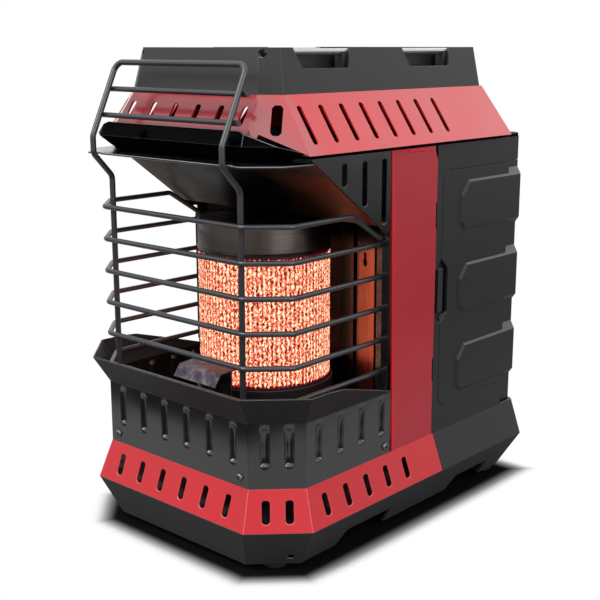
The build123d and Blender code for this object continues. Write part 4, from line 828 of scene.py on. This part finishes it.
def wires(name, routes, bend, radius, *nodes):
    """Round wires along routes of corner points, as one piece."""
    curve = bpy.data.curves.new(name, "CURVE")
    curve.dimensions = "3D"
    curve.bevel_depth = radius * MM
    curve.bevel_resolution = 5
    curve.use_fill_caps = True
    for route in routes:
        line = bent_line(route, bend)
        spline = curve.splines.new("POLY")
        spline.points.add(len(line) - 1)
        for point, place in zip(spline.points, line):
            point.co = (*place, 1.0)
        spline.use_smooth = True
    made = bpy.data.objects.new(name, curve)
    bpy.context.scene.collection.objects.link(made)
    curve.materials.append(powder_coat)
    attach(made, "housing")
    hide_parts(*nodes)


def both_halves(half):
    """The route of a wire whose left half mirrors its right one, from the left end."""
    return [at(-x, d, z) for x, d, z in reversed(half)] + [at(*p) for p in half]


# Each hoop runs across the front, round two facets and back along the sides into the posts. The
# top one is bent down at its tails, to clear the hood.
HOOP_FRONT, HOOP_FACET, HOOP_SIDE, HOOPS = 11.8, 82.0, 38.6, 5
TAIL_ACROSS, TAIL_END, BROW_BEND, BROW_END, BROW_ABOVE = 106.0, 148.8, 107.0, 143.0, 5.2
hoop_low, hoop_high = (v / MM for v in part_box("guard_hoops"))
hoop_half = hoop_high.x - HOOP_RADIUS
lowest, highest = hoop_low.z + HOOP_RADIUS, hoop_high.z - HOOP_RADIUS


def hoop_route(height, tail):
    """A hoop's route at a height, with the tail that ends each half."""
    return both_halves([(HOOP_FACET, HOOP_FRONT, height), (hoop_half, HOOP_SIDE, height)] + tail)


hoop_heights = [lowest + (highest - lowest) * k / (HOOPS - 1) for k in range(HOOPS)]
wires("lower_hoops", [hoop_route(z, [(TAIL_ACROSS, TAIL_END, z)]) for z in hoop_heights], HOOP_BEND,
      HOOP_RADIUS, "guard_hoops")
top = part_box("guard_top_hoop")[1].z / MM - HOOP_RADIUS
brow_tail = [(hoop_half, BROW_BEND, top), (hoop_half, BROW_END, highest + BROW_ABOVE)]
wires("brow_hoop", [hoop_route(top, brow_tail)], HOOP_BEND, HOOP_RADIUS, "guard_top_hoop")

# The uprights stand inside the hoops, jog forwards under the hood and lean back before the tray.
UPRIGHT_BACK, UPRIGHT_FORWARD, JOG_LOW, JOG_HIGH = 16.2, -1.7, 306.0, 325.5
LEAN_LOW, LOOP_BACK, LOOP_TOP = 340.0, 25.4, 398.0
loop_low, loop_high = (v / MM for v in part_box("guard_uprights"))
side_view = [(LOOP_BACK, LOOP_TOP), (UPRIGHT_FORWARD, LEAN_LOW), (UPRIGHT_FORWARD, JOG_HIGH),
             (UPRIGHT_BACK, JOG_LOW), (UPRIGHT_BACK, loop_low.z)]
upright = [(loop_high.x - UPRIGHT_RADIUS, d, z) for d, z in side_view]
wires("upright_loop", [both_halves(upright)], UPRIGHT_BEND, UPRIGHT_RADIUS, "guard_uprights")

bars_low, bars_high = (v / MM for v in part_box("guard_bars"))
bar_lines = [(bars_low.y + HOOP_RADIUS, bars_low.z + HOOP_RADIUS),
             (bars_high.y - HOOP_RADIUS, bars_high.z - HOOP_RADIUS)]
wires("cross_bars", [both_halves([(bars_high.x, y - FRONT_EDGE, z)]) for y, z in bar_lines], HOOP_BEND,
      HOOP_RADIUS, "guard_bars")

# ---------------------------------------------------------------- rear shell and door
# The shell is two mouldings in the plinth's plastic, screwed together at the back. The door wraps
# the corner, hangs on two steel pins and closes with a sprung tongue, moulded in a plainer grey
# plastic that shows a little paler.
for side in ("right", "left"):
    rolled_edges("shell_" + side, 0.7, black_polypropylene, "housing", "black_moulding",
                 "rear_shell_" + side)
rolled_edges("door_skin", 0.5, black_polypropylene, "door", "black_moulding", "cylinder_door")
grey_polypropylene = pebbled_plastic("grey_polypropylene", ("#222224", "#2a2a2c"), 0.5, "#6a6b70")
rolled_edges("latch_tongue", 0.4, grey_polypropylene, "latch", "grey_moulding", "door_latch")

# ---------------------------------------------------------------- cylinder bay
# Behind the door stand a moulded cradle and the regulator, with a rubber seal in its brass collar
# for the cylinder's valve. The regulator is cast in zinc, which leaves a dull and pitted grey skin.
dress(black_polypropylene, "cylinder_cradle")
dress(rubber, "inlet_seal")
cast_metal = bare_metal("zinc_die_casting", "#8b8c8e", 0.8, (1.2, 1.2, 1.2), (0.45, 0.6), detail=3.0,
                        relief=(0.4, 0.06))
dress(cast_metal, "regulator_body", "regulator_cap", "control_valve")

# ---------------------------------------------------------------- controls
# On the left side a round knob with a grip bar turns and pushes the valve. The piezo igniter below
# it has a round button in a plain collar.
rolled_edges("control_dish", 0.6, black_polypropylene, "housing", "black_moulding", "control_panel")
rolled_edges("knob", 0.6, black_polypropylene, "knob", "black_moulding", "control_knob")
rolled_edges("igniter_collar", 0.3, grey_polypropylene, "housing", "grey_moulding", "igniter_body")
rolled_edges("igniter_push", 0.5, grey_polypropylene, "button", "grey_moulding", "igniter_button")

# ---------------------------------------------------------------- camera and light
# A 65.6 mm lens on a 36 mm sensor stands to the right of the front, a little above the top. The
# room is white to the eye and in reflections, and its light on the heater is weaker.
lens = bpy.data.cameras.new("view")
lens.sensor_width, lens.lens = 36.0, 65.6
lens.shift_x, lens.shift_y = -0.0151, -0.0031
camera = bpy.data.objects.new("view", lens)
camera.location = (0.65297, -0.72695, 0.41169)
LOOKS_DOWN, TURNED = 0.2275, 0.7311
camera.rotation_euler = (pi / 2 - LOOKS_DOWN, 0, TURNED)
bpy.context.scene.collection.objects.link(camera)
bpy.context.scene.camera = camera

world = bpy.data.worlds.new("studio")
world.use_nodes = True
world.node_tree.nodes.clear()
path = add(world, "LightPath")
ROOM_LIGHT, ROOM_WHITE = 0.42, 1.0
seen = add(world, "Math", {"operation": "MAXIMUM"},
           {0: path.outputs["Is Camera Ray"], 1: path.outputs["Is Glossy Ray"]})
seen = add(world, "Math", {"operation": "MAXIMUM"},
           {0: seen.outputs[0], 1: path.outputs["Is Transmission Ray"]})
level = add(world, "MapRange", {3: ROOM_LIGHT, 4: ROOM_WHITE}, {0: seen.outputs[0]})
sky = add(world, "Background", {"Color": linear("#ffffff")}, {"Strength": level.outputs[0]})
add(world, "OutputWorld", links={0: sky.outputs[0]})
bpy.context.scene.world = world


def soft_box(name, place, target, size, watts):
    """A square lamp of a size in metres, turned to a target."""
    lamp = bpy.data.lights.new(name, "AREA")
    lamp.shape, lamp.size, lamp.energy = "SQUARE", size, watts
    made = bpy.data.objects.new(name, lamp)
    made.location = place
    made.rotation_euler = (Vector(target) - Vector(place)).to_track_quat("-Z", "Y").to_euler()
    bpy.context.scene.collection.objects.link(made)


soft_box("key", (-0.5, -1.5, 1.5), (0, 0, 0.2), 1.0, 24)
soft_box("fill", (1.7, -0.5, 1.0), (0, 0, 0.2), 1.2, 15)
soft_box("top", (0.2, -0.5, 1.6), (0, 0, 0.3), 1.0, 5)
soft_box("rear", (0.37, 1.32, 1.16), (0, 0, 0.3), 0.9, 3)

# ---------------------------------------------------------------- floor
# A sheet of white paper lies under the feet. It is clear to the eye, so that the white room shows,
# except for a painted contact shadow, which follows the heater's plan with its corners cut off.
FLOOR_HALF, FLOOR_SINK, CORNER_REACH = 3.0, 0.2, 188.8
LINE_DARK, LINE_PALE, PAPER_SHOWS, PAPER_CLEAR = -14.0, 8.0, -3.0, 11.0
SHELTERED, OPEN_FLOOR = 45.0, 80.0
BELT_STARTS, BELT_DARK, BELT_FADES, BELT_ENDS = 362.0, 375.0, 1100.0, 1400.0
ground = bmesh.new()
corners = [(x * FLOOR_HALF, y * FLOOR_HALF) for x, y in ((-1, -1), (1, -1), (1, 1), (-1, 1))]
ground.faces.new([ground.verts.new((x, y, -FLOOR_SINK * MM)) for x, y in corners])
paper = finish_named("white_paper")
place = add(paper, "TexCoord").outputs["Object"]
split = add(paper, "SeparateXYZ", links={0: place})
path = add(paper, "LightPath")
ahead = add(paper, "Math", {"operation": "MULTIPLY", 1: -1.0}, {0: split.outputs[1]})

# How far a point lies outside the heater's plan: past its sides, or past its cut front corners.
beside = add(paper, "VectorMath", {"operation": "ABSOLUTE"}, {0: place})
past = add(paper, "VectorMath", {"operation": "SUBTRACT", 1: (cad_high.x, cad_high.y, 0)},
           {0: beside.outputs[0]})
past = add(paper, "SeparateXYZ", links={0: past.outputs[0]})
square = add(paper, "Math", {"operation": "MAXIMUM"}, {0: past.outputs[0], 1: past.outputs[1]})
breadth = add(paper, "SeparateXYZ", links={0: beside.outputs[0]})
cornerwise = add(paper, "Math", {"operation": "ADD"}, {0: breadth.outputs[0], 1: ahead.outputs[0]})
cornerwise = add(paper, "Math", {"operation": "MULTIPLY_ADD", 1: 0.5 ** 0.5, 2: -CORNER_REACH * MM},
                 {0: cornerwise.outputs[0]})
clear_by = add(paper, "Math", {"operation": "MAXIMUM"}, {0: square.outputs[0], 1: cornerwise.outputs[0]})

# The eye sees a painted shadow under the heater that goes to pale paper, and then to the white room.
contact_shadow = add(paper, "MapRange", {1: LINE_DARK * MM, 2: LINE_PALE * MM,
                                  "interpolation_type": "SMOOTHSTEP"}, {0: clear_by.outputs[0]})
pale = add(paper, "Mix", {"data_type": "RGBA", 6: linear("#161616"), 7: linear("#f4f4f4")},
           {0: contact_shadow.outputs[0]})
fade = add(paper, "MapRange", {1: PAPER_SHOWS * MM, 2: PAPER_CLEAR * MM,
                               "interpolation_type": "SMOOTHSTEP"}, {0: clear_by.outputs[0]})
blank = add(paper, "Math", {"operation": "MULTIPLY"},
            {0: fade.outputs[0], 1: path.outputs["Is Camera Ray"]})

# Reflections and bounced light find grey paper instead. It is dark in a belt in front and at the
# right, which the black enamel mirrors, and painted half as bright, as shade, close round the heater.
outward = add(paper, "Math", {"operation": "MAXIMUM"}, {0: ahead.outputs[0], 1: split.outputs[0]})
dusk = add(paper, "MapRange", {1: BELT_STARTS * MM, 2: BELT_DARK * MM,
                               "interpolation_type": "SMOOTHSTEP"}, {0: outward.outputs[0]})
dawn = add(paper, "MapRange", {1: BELT_FADES * MM, 2: BELT_ENDS * MM, 3: 1.0, 4: 0.0},
           {0: outward.outputs[0]})
gloom = add(paper, "Math", {"operation": "MULTIPLY"}, {0: dusk.outputs[0], 1: dawn.outputs[0]})
mirrored = add(paper, "Mix", {"data_type": "RGBA", 6: linear("#c8c8c8"), 7: linear("#161616")},
               {0: gloom.outputs[0]})
# Painted shade: reflected and bounced paper is half as bright close round the heater.
shelter = add(paper, "MapRange", {1: SHELTERED * MM, 2: OPEN_FLOOR * MM, 3: 0.5}, {0: clear_by.outputs[0]})
mirrored = add(paper, "Mix", {"data_type": "RGBA", "blend_type": "MULTIPLY", 0: 1.0},
               {6: mirrored.outputs[2], 7: shelter.outputs[0]})
shade = add(paper, "Mix", {"data_type": "RGBA"},
            {0: path.outputs["Is Camera Ray"], 6: mirrored.outputs[2], 7: pale.outputs[2]})
matte = add(paper, "BsdfDiffuse", links={"Color": shade.outputs[2]})
clear = add(paper, "BsdfTransparent")
both = add(paper, "MixShader", links={0: blank.outputs[0], 1: matte.outputs[0], 2: clear.outputs[0]})
add(paper, "OutputMaterial", links={0: both.outputs[0]})
mesh = bpy.data.meshes.new("floor")
ground.to_mesh(mesh)
ground.free()
floor = bpy.data.objects.new("floor", mesh)
mesh.materials.append(paper)
bpy.context.scene.collection.objects.link(floor)

bpy.context.scene.view_settings.view_transform = "Standard"
